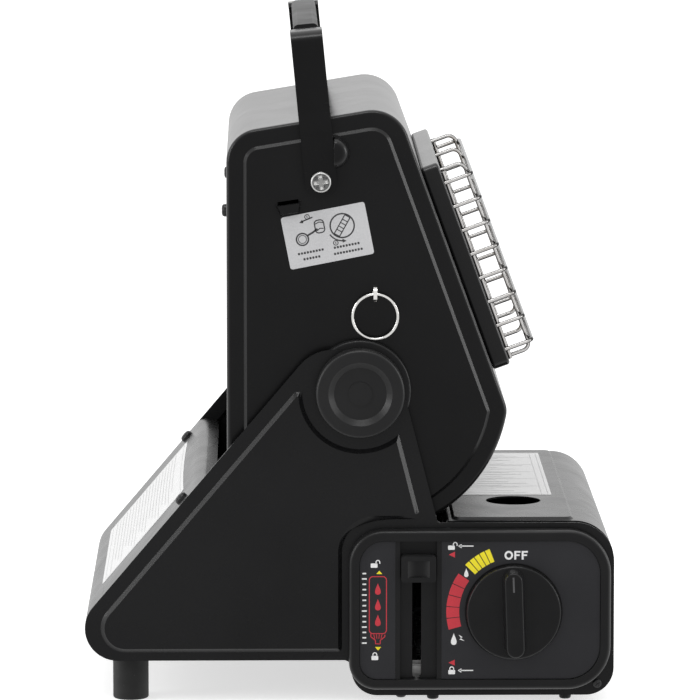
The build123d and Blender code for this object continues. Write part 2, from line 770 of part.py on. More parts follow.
# canister lever: a finger tab in the channel, on a stem through the slot to the slider behind the panel
tab_side = (channel_right - channel_left) / 2 - lever_play
with BuildPart() as lever_tab:
    with BuildSketch(upright(NEAR, channel_face + run_gap)):
        with Locations((channel_x, lever_z)):
            RectangleRounded(2 * tab_side, lever_high, 1.5)
    extrude(amount=lever_out)
    with BuildSketch(Plane(origin=(channel_x, reach(NEAR, channel_face + run_gap + lever_out + 6.5), lever_z))):
        Circle(8.5)
    extrude(amount=4.2, both=True, mode=Mode.SUBTRACT)
    slider_reach = panel_inner - 1.0
    with BuildSketch(upright(NEAR, slider_reach)):
        with Locations((lever_x, lever_z)):
            Rectangle(slot_width - 2 * fold_gap, stem_high)
    extrude(amount=channel_face + run_gap - slider_reach)
finish(lever_tab, "lever_tab")
slider_thick = 6.0
cam_x = lid_hinge_x - 7.3  # plane of the pusher's cam plate
cam_thick = 1.5
cam_pin_r = 1.6
cam_pin_reach = panel_reach - 14.0
with BuildPart() as lever_slider:
    with BuildSketch(upright(NEAR, slider_reach - slider_thick)):
        with Locations((lever_x, lever_z)):
            Rectangle(12, 16)
    extrude(amount=slider_thick)
    with BuildSketch(upright(NEAR, cam_pin_reach - 3)):
        with Locations((lever_x, lever_z)):
            Rectangle(8, 10)
    extrude(amount=slider_reach - slider_thick - cam_pin_reach + 3)
    with BuildSketch(Plane.YZ.offset(lever_x)):
        with Locations((reach(NEAR, cam_pin_reach), lever_z)):
            Circle(cam_pin_r)
    extrude(amount=cam_x + cam_thick + 1 - lever_x)
finish(lever_slider, "lever_slider")

# canister pusher: a cam plate follows the slider's pin and carries the fork that seats the canister
cam_slot_r = cam_pin_r + 0.35
fork_half = 28.0
fork_leg = fork_half - 4.0  # the fork is lower than the cam plate past this
with BuildPart() as canister_pusher:
    with BuildSketch(Plane.YZ.offset(cam_x)):
        with BuildLine():
            cam_near = reach(NEAR, cam_pin_reach + 5.5)
            cam_back = reach(NEAR, cam_pin_reach - pusher_travel - 5.5)
            fork_back = reach(NEAR, pusher_reach)
            Polyline(
                (cam_near, lever_z + 4.5),
                (cam_back, lever_z + 4.5),
                (cam_back, lever_low - 2),
                (fork_back, lever_low - 2),
                (fork_back, part_floor + run_gap),
                (cam_near, part_floor + run_gap + 8),
                close=True,
            )
        make_face()
    extrude(amount=cam_thick)
    with BuildSketch(Plane.YZ.offset(cam_x)):
        with BuildLine():
            cam_line = Line(
                (reach(NEAR, cam_pin_reach), lever_z),
                (reach(NEAR, cam_pin_reach - pusher_travel), lever_low),
            )
            offset(cam_line, amount=cam_slot_r, side=Side.BOTH)
        make_face()
    extrude(amount=cam_thick, mode=Mode.SUBTRACT)
    with BuildSketch(upright(NEAR, pusher_reach)):
        with BuildLine():
            fork_low = part_floor + run_gap
            Polyline(
                (cam_x, fork_low),
                (canister_x + fork_half, fork_low),
                (canister_x + fork_half, canister_z),
                (canister_x - fork_leg, canister_z),
                (canister_x - fork_leg, lever_low - 2),
                (cam_x, lever_low - 2),
                close=True,
            )
        make_face()
        with Locations((canister_x, canister_z)):
            Circle(17, mode=Mode.SUBTRACT)
    extrude(amount=pusher_thick)
finish(canister_pusher, "canister_pusher")

# ================================================================ lid
lid_left = lid_hinge_x - 1.1
lid_crease = front_x - bay_top_r
with BuildPart() as lid:
    with BuildSketch(upright(FAR, lid_half)):
        with BuildLine():
            skin = FilletPolyline(
                (lid_left, deck_height - lid_flange),
                (lid_left, deck_height),
                (front_x, deck_height),
                (front_x, deck_height - bay_top_r - lid_skirt),
                radius=[2.0, bay_top_r],
            )
            offset(skin, amount=lid_sheet, side=Side.RIGHT)
        make_face()
    extrude(amount=2 * lid_half)
    # raised middle, from the hinge to the crease
    pillow_x = (lid_left + lid_edge_gap + lid_crease) / 2
    pillow_long = lid_crease - lid_left - lid_edge_gap
    pillow_wide = 2 * (lid_half - lid_edge_gap)
    with BuildSketch(Plane.XY.offset(deck_height)):
        with Locations((pillow_x, mid)):
            RectangleRounded(pillow_long, pillow_wide, 5)
    extrude(amount=lid_raise, taper=50)
    with BuildSketch(Plane.XY.offset(deck_height - lid_sheet)):
        with Locations((pillow_x, mid)):
            RectangleRounded(pillow_long - 2, pillow_wide - 2, 4)
    extrude(amount=lid_raise, taper=50, mode=Mode.SUBTRACT)
    # finger hole, dished round its edge
    with BuildSketch(Plane.XY.offset(deck_height - 2)):
        with Locations((finger_x, mid + finger_y)):
            Circle(finger_r)
    extrude(amount=5, mode=Mode.SUBTRACT)
    # end flanges that carry the hinge pins
    for side in (NEAR, FAR):
        with BuildSketch(upright(side, lid_half - lid_sheet)):
            with BuildLine():
                loop(
                    (lid_left + 0.2, deck_height - 0.4, 0),
                    (lid_hinge_x + 14, deck_height - 0.4, 0),
                    (lid_hinge_x + 10, deck_height - lid_flange, 1.0),
                    (lid_left + 0.2, deck_height - lid_flange, 1.0),
                )
            make_face()
        extrude(amount=-side * lid_sheet)
finish(lid, "lid")
with BuildPart() as lid_pin:
    disc(lid_hinge_x, lid_hinge_z, lid_pin_r, panel_reach - 0.1, lid_half)
    with BuildSketch(upright(NEAR, lid_half)):
        with Locations((lid_hinge_x, lid_hinge_z)):
            Circle(lid_pin_r + 1.0)
    extrude(amount=panel_inner - lid_half - run_gap)
finish_pair("lid_pins", lid_pin)

# ================================================================ head
fold_from_up = handle_lean + handle_fold  # the folded strap's direction, from straight up to the back


def strap_plane(distance, angle):
    """Sketch plane beside the head: origin at the strap's screw, y along the strap at this angle back"""
    turn = radians(angle)
    return Plane(
        origin=(handle_x, reach(NEAR, distance), handle_z),
        x_dir=(cos(turn), 0, sin(turn)),
        z_dir=(0, -1, 0),
    )


# head sides: drawn pans with a rolled edge and a raised field; the strap's stop and rest stand on the field
full_profile = head_profile()
inner_profile = head_profile(head_sheet)
field_profile = head_profile(head_field_inset)
stop_r = 7.5
stop_along = 14.7
stop_out = strap_off - head_emboss + 1.6
rest_near = 11.0
rest_far = 24.5
rest_out = strap_off - head_emboss + 0.8
with BuildPart() as head_side_near:
    with BuildSketch(upright(NEAR, head_reach - head_pan)):
        add(full_profile)
    extrude(amount=head_pan)
    fillet(head_side_near.faces().sort_by(Axis.Y)[0].edges(), head_edge_r)
    with BuildSketch(upright(NEAR, head_reach - head_pan)):
        add(inner_profile)
    extrude(amount=head_pan - head_sheet, mode=Mode.SUBTRACT)
    with BuildSketch(upright(NEAR, head_reach)):
        add(field_profile)
    extrude(amount=head_emboss, taper=45)
    with BuildSketch(upright(NEAR, head_reach - head_sheet)):
        offset(field_profile, amount=-head_sheet * (sqrt(2) - 1))
    extrude(amount=head_emboss, taper=45, mode=Mode.SUBTRACT)
    # rounded half-dome that the upright strap leans against
    with BuildSketch(strap_plane(head_field, handle_lean)):
        with Locations((strap_width / 2 + fold_gap, stop_along)):
            Circle(stop_r)
            with Locations((-stop_r, 0)):
                Rectangle(2 * stop_r, 2 * stop_r, mode=Mode.SUBTRACT)
    extrude(amount=stop_out, taper=20)
    fillet(head_side_near.faces().sort_by(Axis.Y)[0].edges(), 1.0)
    # lanced ledge that the folded strap rests on, open under its lip
    with BuildSketch(strap_plane(head_field, fold_from_up)):
        with BuildLine():
            ledge = strap_width / 2 + fold_gap
            Polyline(
                (-ledge, rest_near),
                (-ledge, rest_far),
                (-ledge - 6, rest_far - 2),
                (-ledge - 6, rest_near + 2),
                close=True,
            )
        make_face()
    extrude(amount=rest_out, taper=12)
    with BuildSketch(strap_plane(head_field - head_sheet, fold_from_up)):
        with Locations((-ledge - 1.5, (rest_near + rest_far) / 2)):
            Rectangle(5.0, rest_far - rest_near - 3)
    extrude(amount=rest_out, mode=Mode.SUBTRACT)
    disc(pivot_x, pivot_z, hub_r + seat_gap, head_field, head_reach - head_sheet, Mode.SUBTRACT)
    disc(handle_x, handle_z, shoulder_r, head_field, head_reach - head_sheet, Mode.SUBTRACT)
finish_side = head_side_near.part
with BuildPart() as head_side_far:
    mirror(finish_side, about=mid_plane)
finish(head_side_far, "head_side_far")
with BuildPart() as head_side_open:
    add(finish_side)
    disc(pin_x, pin_z, pin_r + seat_gap, head_field, head_reach - head_sheet, Mode.SUBTRACT)
finish(head_side_open, "head_side_near")

# head wrap: one sheet that makes the back and the roof, a second that makes the belly
wrap_half = head_reach - head_pan - hair
wrap_cut_top = frame_top - panel_edge
wrap_cut_low = frame_low + panel_edge
far_out = 2 * head_belly_r
with BuildSketch() as wrap_ring:
    add(full_profile)
    add(inner_profile, mode=Mode.SUBTRACT)
with BuildSketch() as roof_sketch:
    add(wrap_ring.sketch)
    with BuildLine():
        back_split = pivot_z - sqrt(head_belly_r**2 - head_back**2) + 6
        Polyline(
            (pivot_x - far_out, back_split),
            (pivot_x, back_split),
            front_point(wrap_cut_top, 0),
            front_point(wrap_cut_top, far_out),
            front_point(far_out, far_out),
            (pivot_x - far_out, pivot_z - far_out),
            close=True,
        )
    make_face(mode=Mode.SUBTRACT)
with BuildSketch() as belly_sketch:
    add(wrap_ring.sketch)
    with BuildLine():
        Polyline(
            (pivot_x - far_out, back_split - hair),
            (pivot_x, back_split - hair),
            front_point(wrap_cut_low + hair, 0),
            front_point(wrap_cut_low + hair, far_out),
            front_point(-far_out, far_out),
            (pivot_x - far_out, pivot_z + far_out),
            close=True,
        )
    make_face(mode=Mode.SUBTRACT)
with BuildPart() as head_wrap:
    with BuildSketch(upright(FAR, wrap_half)):
        add(roof_sketch.sketch)
    extrude(amount=2 * wrap_half)
    with BuildSketch(Plane.YZ.offset(pivot_x - head_back)):
        for vent in range(vent_count):
            with Locations((mid, pivot_z + vent_low + vent * vent_pitch)):
                SlotOverall(vent_long, vent_wide)
    extrude(amount=2 * head_sheet, mode=Mode.SUBTRACT)
finish(head_wrap, "head_wrap")
with BuildPart() as head_belly:
    with BuildSketch(upright(FAR, wrap_half)):
        add(belly_sketch.sketch)
    extrude(amount=2 * wrap_half)
finish(head_belly, "head_belly")

# front panel: flat sheet with the burner's window, under the frame
window_half = frame_half - frame_rim
window_high = frame_high - 2 * frame_rim
with BuildPart() as front_panel:
    with BuildSketch(front_plane(head_front - head_sheet, frame_middle)):
        Rectangle(2 * wrap_half, frame_high + 2 * panel_edge)
        Rectangle(2 * window_half, window_high, mode=Mode.SUBTRACT)
    extrude(amount=head_sheet)
finish(front_panel, "front_panel")

# burner frame: drawn sheet frame that stands off the front panel
frame_face = head_front + frame_out
with BuildPart() as burner_frame:
    with BuildSketch(front_plane(head_front, frame_middle)):
        RectangleRounded(2 * frame_half, frame_high, 4)
    extrude(amount=frame_out)
    fillet(burner_frame.faces().sort_by(Axis.X)[-1].edges(), 1.5)
    with BuildSketch(front_plane(head_front, frame_middle)):
        RectangleRounded(2 * (frame_half - frame_sheet), frame_high - 2 * frame_sheet, 3)
    extrude(amount=frame_out - frame_sheet, mode=Mode.SUBTRACT)
    with BuildSketch(front_plane(head_front, frame_middle)):
        RectangleRounded(2 * window_half, window_high, 3)
    extrude(amount=frame_out, mode=Mode.SUBTRACT)
finish(burner_frame, "burner_frame")

# reflector: bright flared tray between the frame's window and the ceramic plaques
plaque_face = frame_face - plaque_sunk
plaques_half = plaque_wide + plaque_gap / 2
reflector_back = plaque_face + 1.0
reflector_front = frame_face - frame_sheet - hair
stem_r = 2.4
stem_side = plaques_half + 9.0
stem_rise = 14.0
with BuildPart() as reflector:
    with BuildSketch(front_plane(reflector_back, frame_middle)):
        Rectangle(2 * (plaques_half + 2), plaque_high + 4)
    with BuildSketch(front_plane(reflector_front, frame_middle)):
        Rectangle(2 * (window_half + 2), window_high + 4)
    loft()
    lining = reflector_sheet + 0.3
    with BuildSketch(front_plane(reflector_back, frame_middle)):
        Rectangle(2 * (plaques_half + 2 - lining), plaque_high + 4 - 2 * lining)
    with BuildSketch(front_plane(reflector_front, frame_middle)):
        Rectangle(2 * (window_half + 2 - lining), window_high + 4 - 2 * lining)
    loft(mode=Mode.SUBTRACT)
    with BuildSketch(front_plane(reflector_back, frame_middle)):
        Rectangle(2 * (plaques_half + plenum_lip + 1.6), plaque_high + 2 * plenum_lip + 3.2)
        Rectangle(2 * (plaques_half + 2 - lining), plaque_high + 4 - 2 * lining, mode=Mode.SUBTRACT)
    extrude(amount=-reflector_sheet)
    with BuildSketch(front_plane(reflector_back - 2, frame_middle)):
        with Locations((stem_side, -stem_rise), (stem_side, stem_rise)):
            Circle(stem_r + 0.3)
    extrude(amount=frame_out, mode=Mode.SUBTRACT)
finish(reflector, "reflector")

# ceramic plaques: two perforated tiles with a stepped edge
with BuildPart() as ceramic_plaques:
    for side in (NEAR, FAR):
        with BuildSketch(front_plane(plaque_face - plaque_thick, frame_middle)):
            with Locations((side * (plaque_wide + plaque_gap) / 2, 0)):
                RectangleRounded(plaque_wide, plaque_high, 1.5)
        extrude(amount=plaque_thick)
    chamfer(ceramic_plaques.faces().sort_by(Axis.X)[-2:].edges(), 0.8)
finish(ceramic_plaques, "ceramic_plaques")

# burner body: drawn steel plenum behind the plaques, with a lip all round
plaque_back = plaque_face - plaque_thick
plenum_back = plaque_back - plenum_deep
body_half = plaques_half + 0.5
body_high = plaque_high + 1.0
lip_front = reflector_back - reflector_sheet - hair
seat_step = 3.0
with BuildPart() as burner_body:
    with BuildSketch(front_plane(plenum_back, frame_middle)):
        RectangleRounded(2 * (body_half + plenum_sheet), body_high + 2 * plenum_sheet, 5)
    extrude(amount=lip_front - plenum_back)
    with BuildSketch(front_plane(lip_front, frame_middle)):
        Rectangle(2 * (body_half + plenum_lip), body_high + 2 * plenum_lip)
    extrude(amount=-plenum_sheet)
    with BuildSketch(front_plane(plaque_back, frame_middle)):
        Rectangle(2 * body_half, body_high)
    extrude(amount=lip_front - plaque_back, mode=Mode.SUBTRACT)
    with BuildSketch(front_plane(plenum_back + plenum_sheet, frame_middle)):
        RectangleRounded(2 * (body_half - seat_step), body_high - 2 * seat_step, 4)
    extrude(amount=plaque_back - plenum_back - plenum_sheet, mode=Mode.SUBTRACT)
    mixer_out = (plenum_back + plaque_back) / 2
    mixer_x, mixer_z = front_point(frame_middle, mixer_out)
    disc(mixer_x, mixer_z, mixer_r + mixer_wall + hair, body_half + 5, body_half - 6, Mode.SUBTRACT)
finish(burner_body, "burner_body")

# plaque gasket: ceramic-fibre rope round the tiles, under the reflector's rim
gasket_front = reflector_back - reflector_sheet - hair
with BuildPart() as plaque_gasket:
    with BuildSketch(front_plane(plaque_face - 4, frame_middle)):
        Rectangle(2 * body_half - 0.1, body_high - 0.1)
        Rectangle(2 * plaques_half + 0.1, plaque_high + 0.1, mode=Mode.SUBTRACT)
    extrude(amount=gasket_front - plaque_face + 4)
finish(plaque_gasket, "plaque_gasket")

# mixing tube: flared mouth, throat and diffuser into the side of the burner body
with BuildPart() as mixing_tube:
    with BuildSketch(Plane(origin=(mixer_x, mid, mixer_z), x_dir=(0, -1, 0), z_dir=(1, 0, 0))):
        with BuildLine():
            inside_end = body_half - 10
            wall = mixer_wall
            tube_line = Polyline(
                (inside_end, mixer_r),
                (body_half + 4, mixer_r),
                (body_half + 13, mixer_throat_r),
                (mixer_mouth - 4, mixer_throat_r + 0.5),
                (mixer_mouth, mixer_mouth_r),
            )
            offset(tube_line, amount=wall, side=Side.LEFT)
        make_face()
    revolve(axis=Axis((mixer_x, mid, mixer_z), (0, 1, 0)))
finish(mixing_tube, "mixing_tube")

# jet: brass body on the mixing tube's axis, held by a bracket from the burner body
jet_reach = mixer_mouth + 3.0
with BuildPart() as gas_jet:
    with BuildSketch(upright(NEAR, jet_reach)):
        with Locations((mixer_x, mixer_z)):
            RegularPolygon(jet_r, 6, major_radius=False)
    extrude(amount=jet_long)
    disc(mixer_x, mixer_z, 2.2, jet_reach, jet_reach - 3)
    disc(mixer_x, mixer_z, 0.5, jet_reach + 2, jet_reach - 3, Mode.SUBTRACT)
finish(gas_jet, "gas_jet")
with BuildPart() as jet_bracket:
    bracket_out = jet_reach + 3.0
    bracket_wide = 17.0
    body_end = body_half + plenum_sheet
    with BuildSketch(Plane(origin=(mixer_x, mid, mixer_z + mixer_mouth_r + 2), z_dir=(0, 0, 1))):
        with Locations((0, -(body_end + bracket_out) / 2)):
            Rectangle(bracket_wide, bracket_out - body_end)
    extrude(amount=plenum_sheet)
    with BuildSketch(upright(NEAR, bracket_out - plenum_sheet)):
        with Locations((mixer_x, mixer_z + (mixer_mouth_r + 2 + plenum_sheet - 8) / 2)):
            Rectangle(bracket_wide, mixer_mouth_r + 2 + plenum_sheet + 8)
        with Locations((mixer_x, mixer_z)):
            RegularPolygon(jet_r + hair, 6, major_radius=False, mode=Mode.SUBTRACT)
    extrude(amount=plenum_sheet)
    with BuildSketch(upright(NEAR, body_end)):
        with Locations((mixer_x, mixer_z + mixer_mouth_r + 4)):
            Rectangle(bracket_wide, 6)
    extrude(amount=plenum_sheet)

# swivel union: seals the head's gas pipe to the end of the gas tube on the pivot's axis
with BuildPart() as swivel_union:
    disc(pivot_x, pivot_z, union_r, tube_end_reach + 3.5, tube_end_reach - union_long)
    disc(pivot_x, pivot_z, tube_r + seat_gap, tube_end_reach + 3.5, tube_end_reach - run_gap, Mode.SUBTRACT)
    disc(pivot_x, pivot_z, tube_r / 2, tube_end_reach, tube_end_reach - union_long, Mode.SUBTRACT)
finish(swivel_union, "swivel_union")
pipe_start = tube_end_reach - union_long
pipe_run = 9.0  # straight out of the union
pipe_rise = 20.0  # straight up into the jet
jet_socket = 2.2
pipe_turn = pipe_start - pipe_run
pipe_in = jet_reach + jet_long - jet_socket
with BuildPart() as burner_pipe:
    with BuildLine() as pipe_path:
        FilletPolyline(
            (pivot_x, reach(NEAR, pipe_start), pivot_z),
            (pivot_x, reach(NEAR, pipe_turn), pivot_z),
            (mixer_x, reach(NEAR, pipe_in), mixer_z - pipe_rise),
            (mixer_x, reach(NEAR, pipe_in), mixer_z - jet_r),
            radius=[tube_bend_r - 3, tube_bend_r],
        )
    with BuildSketch(Plane(origin=pipe_path.line @ 0, z_dir=pipe_path.line % 0)):
        Circle(tube_r)
    sweep(path=pipe_path.line)
finish(burner_pipe, "burner_pipe")

# heat shield: bent sheet round the back of the burner, hung from the front panel
shield_back = plenum_back - shield_gap
shield_half = body_half - 6.0
shield_high = frame_high - 2 * frame_rim - 2
with BuildPart() as heat_shield:
    with BuildSketch(Plane(origin=(0, mid, 0), z_dir=(0, -1, 0), x_dir=(1, 0, 0))):
        with BuildLine():
            leg_front = head_front - head_sheet - hair
            skin = FilletPolyline(
                front_point(frame_middle - shield_high / 2 - 10, leg_front),
                front_point(frame_middle - shield_high / 2, leg_front),
                front_point(frame_middle - shield_high / 2, shield_back),
                front_point(frame_middle + shield_high / 2, shield_back),
                front_point(frame_middle + shield_high / 2, leg_front),
                front_point(frame_middle + shield_high / 2 + 10, leg_front),
                radius=2.5,
            )
            offset(skin, amount=reflector_sheet, side=Side.RIGHT)
        make_face()
    extrude(amount=shield_half, both=True)
finish(heat_shield, "heat_shield")

# igniter: spark electrode and flame probe stand beside the plaques on a bracket from the burner body
stem_back = plenum_back + 6.0
stem_wire_r = 0.8
stem_front = plaque_face + 8.5
wire_rise = 2.0
with BuildPart() as igniter_stems:
    for rise in (-stem_rise, stem_rise):
        with BuildSketch(front_plane(stem_back, frame_middle)):
            with Locations((stem_side, rise)):
                Circle(stem_r)
        extrude(amount=stem_front - stem_back)
finish(igniter_stems, "igniter_stems")
with BuildPart() as igniter_wires:
    for rise in (-stem_rise, stem_rise):
        with BuildSketch(front_plane(stem_front, frame_middle)):
            with Locations((stem_side, rise)):
                Circle(stem_wire_r)
        extrude(amount=wire_rise)
        with BuildSketch(Plane.XZ.offset(-reach(FAR, stem_side - 13.0))):
            with Locations(front_point(frame_middle - rise, stem_front + wire_rise - stem_wire_r)):
                Circle(stem_wire_r)
        extrude(amount=-13.0 - stem_wire_r)
finish(igniter_wires, "igniter_wires")
with BuildPart() as igniter_bracket:
    bracket_near = body_half + plenum_sheet + hair
    bracket_far = stem_side + stem_r + 3.0
    with BuildSketch(front_plane(plaque_back - 4.0, frame_middle)):
        with Locations(((bracket_near + bracket_far) / 2, 0)):
            Rectangle(bracket_far - bracket_near, 2 * (stem_rise + 6.0))
        with Locations((stem_side, -stem_rise), (stem_side, stem_rise)):
            Circle(stem_r + hair, mode=Mode.SUBTRACT)
    extrude(amount=plenum_sheet)
    with BuildSketch(front_plane(plaque_back - 4.0 - 8.0, frame_middle)):
        with Locations((bracket_near + plenum_sheet / 2, 0)):
            Rectangle(plenum_sheet, 2 * (stem_rise + 6.0))
    extrude(amount=8.0)
with BuildPart() as burner_brackets:
    add(jet_bracket.part)
    add(igniter_bracket.part)
finish(burner_brackets, "burner_brackets")

# guard: wire bars across the front, each bent back to the frame, over upright wires that tie them together
bar_out = frame_face + guard_out - wire_r


def wire(*points, bend):
    """Round wire through these points, bent to one radius"""
    with BuildLine() as run:
        FilletPolyline(*points, radius=bend)
    with BuildSketch(Plane(origin=run.line @ 0, z_dir=run.line % 0)) as section:
        Circle(wire_r)
    return sweep(section.sketch, path=run.line)


def guard_point(across, down, out):
    """Point of the guard: across from the mid-plane, down the front wall and out from the pivot"""
    x, z = front_point(down, out)
    return (x, mid + across, z)


with BuildPart() as guard_bars_part:
    for bar in range(guard_bars):
        level = frame_top + guard_first + bar * guard_pitch
        wire(
            guard_point(-guard_half, level, frame_face),
            guard_point(-guard_half, level, bar_out),
            guard_point(guard_half, level, bar_out),
            guard_point(guard_half, level, frame_face),
            bend=guard_bend_r,
        )
finish(guard_bars_part, "guard_bars")
upright_out = bar_out - 2 * wire_r
upright_top = frame_top + guard_first - 5.5
upright_low = frame_top + guard_first + (guard_bars - 1) * guard_pitch + 5.5
with BuildPart() as guard_uprights:
    for across in (-upright_spread, 0, upright_spread):
        wire(
            guard_point(across, upright_top, frame_face),
            guard_point(across, upright_top, upright_out),
            guard_point(across, upright_low, upright_out),
            guard_point(across, upright_low, frame_face),
            bend=guard_bend_r,
        )
    for across in (2 * wire_r - guard_half, guard_half - 2 * wire_r):
        wire(
            guard_point(across, upright_top, frame_face + wire_r),
            guard_point(across, (upright_top + upright_low) / 2, frame_face + wire_r),
            guard_point(across, upright_low, frame_face + wire_r),
            bend=0,
        )
finish(guard_uprights, "guard_uprights")

# brackets inside the head that join the wrap to the sides, with their screws on the rear wall
back_face = pivot_x - head_back
brace_z = 247.0
brace_reach = 95.0
with BuildPart() as head_brace:
    with BuildSketch(Plane.XY.offset(brace_z - 8)):
        with BuildLine():
            brace_in = back_face + head_sheet + hair
            skin = FilletPolyline(
                (brace_in, reach(NEAR, brace_reach - 8)),
                (brace_in, reach(NEAR, head_reach - head_sheet - hair)),
                (brace_in + 9, reach(NEAR, head_reach - head_sheet - hair)),
                radius=1.5,
            )
            offset(skin, amount=head_sheet, side=Side.LEFT)
        make_face()
    extrude(amount=16)
finish_pair("head_braces", head_brace)
with BuildPart() as head_screw:
    with BuildSketch(Plane(origin=(back_face, reach(NEAR, brace_reach), brace_z), z_dir=(-1, 0, 0))):
        Circle(3.2)
    extrude(amount=1.8)
    fillet(head_screw.faces().sort_by(Axis.X)[0].edges(), 0.9)
finish_pair("head_screws", head_screw)

# ================================================================ handle
handle_plane = Plane(
    origin=(handle_x, mid, handle_z),
    x_dir=(0, 1, 0),
    z_dir=(cos(radians(handle_lean)), 0, sin(radians(handle_lean))),
)
strap_low_reach = head_reach + strap_off
strap_high_reach = strap_low_reach - strap_joggle
bail_inner = strap_rise - strap_thick
with BuildPart() as bail_strap:
    with BuildSketch(handle_plane):
        with BuildLine():
            skin = FilletPolyline(
                (-strap_low_reach, -strap_end),
                (-strap_low_reach, joggle_low),
                (-strap_high_reach, joggle_high),
                (-strap_high_reach, bail_inner),
                (strap_high_reach, bail_inner),
                (strap_high_reach, joggle_high),
                (strap_low_reach, joggle_low),
                (strap_low_reach, -strap_end),
                radius=[6, 6, bail_bend_r, bail_bend_r, 6, 6],
            )
            offset(skin, amount=strap_thick, side=Side.LEFT)
        make_face()
    extrude(amount=strap_width / 2, both=True)
    # round lower ends
    with BuildSketch(strap_plane(0, handle_lean)):
        Circle(strap_width / 2)
        with Locations((0, strap_rise)):
            Rectangle(strap_width, 2 * strap_rise)
    extrude(amount=2 * head_reach, both=True, mode=Mode.INTERSECT)
    # bail narrowed inside the grip
    neck_half = grip_half + 8.0
    with BuildSketch(Plane(handle_plane.location * Location((0, bail_inner - 3, 0), (-90, 0, 0)))):
        for edge in (-1, 1):
            with Locations((0, edge * (bail_neck + strap_width) / 2)):
                RectangleRounded(2 * neck_half, strap_width, 7.0)
    extrude(amount=strap_thick + 6, both=True, mode=Mode.SUBTRACT)
    with BuildSketch(strap_plane(0, handle_lean)):
        Circle(shoulder_r + seat_gap)
    extrude(amount=2 * head_reach, both=True, mode=Mode.SUBTRACT)
finish(bail_strap, "bail_strap")

# grip: moulded over the bail, a little higher in the middle
grip_low = bail_inner - 3.6
grip_crown = 2.6
with BuildPart() as grip:
    with BuildSketch(handle_plane):
        with BuildLine():
            grip_end = grip_low + grip_high - 1.2
            ends = Polyline(
                (-grip_half, grip_end),
                (-grip_half, grip_low),
                (grip_half, grip_low),
                (grip_half, grip_end),
            )
            ThreePointArc(ends @ 0, (0, grip_end + grip_crown), ends @ 1)
        make_face()
    extrude(amount=grip_width / 2, both=True)
    fillet(grip.edges().filter_by(lambda edge: edge.length > grip_half), 2.6)
    with BuildSketch(Plane.XZ.offset(-mid)):
        with Locations(Location((handle_x, handle_z, 0), (0, 0, handle_lean))):
            with Locations((0, bail_inner + strap_thick / 2)):
                Rectangle(bail_neck + 2 * hair, strap_thick + 2 * hair)
    extrude(amount=grip_half + 1, both=True, mode=Mode.SUBTRACT)
finish(grip, "grip")

# handle screws: shoulder screws that the strap turns on, over spacers on the head's sides
with BuildPart() as handle_screw:
    screw_under = strap_low_reach + strap_thick + fold_gap
    disc(handle_x, handle_z, screw_head_r, screw_under + screw_head_high, screw_under)
    fillet(handle_screw.faces().sort_by(Axis.Y)[0].edges(), 1.2)
    disc(handle_x, handle_z, shoulder_r, screw_under, head_field)
    disc(handle_x, handle_z, shoulder_r - hair, head_field, head_reach - 6)
finish_pair("handle_screws", handle_screw)
with BuildPart() as handle_spacer:
    disc(handle_x, handle_z, 6.0, strap_low_reach - fold_gap, head_field)
    disc(handle_x, handle_z, shoulder_r + hair, strap_low_reach - fold_gap, head_field, Mode.SUBTRACT)
finish_pair("handle_spacers", handle_spacer)

# ================================================================ pull ring
# pull pin: rod through the head's side with a drilled eye outside and a collar inside
eye_reach = head_field + run_gap + eye_r
collar_reach = head_field + 1.0 - pin_long + 1.5
with BuildPart() as lock_pin:
    disc(pin_x, pin_z, pin_r, eye_reach - eye_r + 1.4, head_field + 1.0 - pin_long)
    disc(pin_x, pin_z, spring_r + 0.8, collar_reach + 1.5, collar_reach)
    with BuildSketch(Plane.YZ.offset(pin_x)):
        with Locations((reach(NEAR, eye_reach), pin_z)):
            Circle(eye_r)
            Circle(ring_wire_r + 0.1, mode=Mode.SUBTRACT)
    extrude(amount=eye_thick / 2, both=True)
finish(lock_pin, "lock_pin")

# pin spring: coil between the pin's collar and the inside of the head's side
spring_near = collar_reach + 1.5 + spring_wire_r
spring_far = head_field - head_sheet - spring_wire_r
with BuildPart() as pin_spring:
    spring_long = spring_far - spring_near
    with BuildLine() as coil:
        Helix(
            spring_long / spring_turns,
            spring_long,
            spring_r - spring_wire_r,
            center=(pin_x, reach(NEAR, spring_near), pin_z),
            direction=(0, -1, 0),
        )
    with BuildSketch(Plane(origin=coil.line @ 0, z_dir=coil.line % 0)):
        Circle(spring_wire_r)
    sweep(path=coil.line, is_frenet=True)
finish(pin_spring, "pin_spring")

# pull ring: wire ring through the eye, hanging beside the head
with BuildPart() as pull_ring:
    with BuildSketch(Plane.YZ.offset(pin_x)):
        with Locations((reach(NEAR, eye_reach), pin_z)):
            Circle(ring_wire_r)
    ring_axis = Axis((pin_x, reach(NEAR, eye_reach), pin_z - ring_r), (0, 1, 0))
    revolve(axis=ring_axis)
finish(pull_ring, "pull_ring")

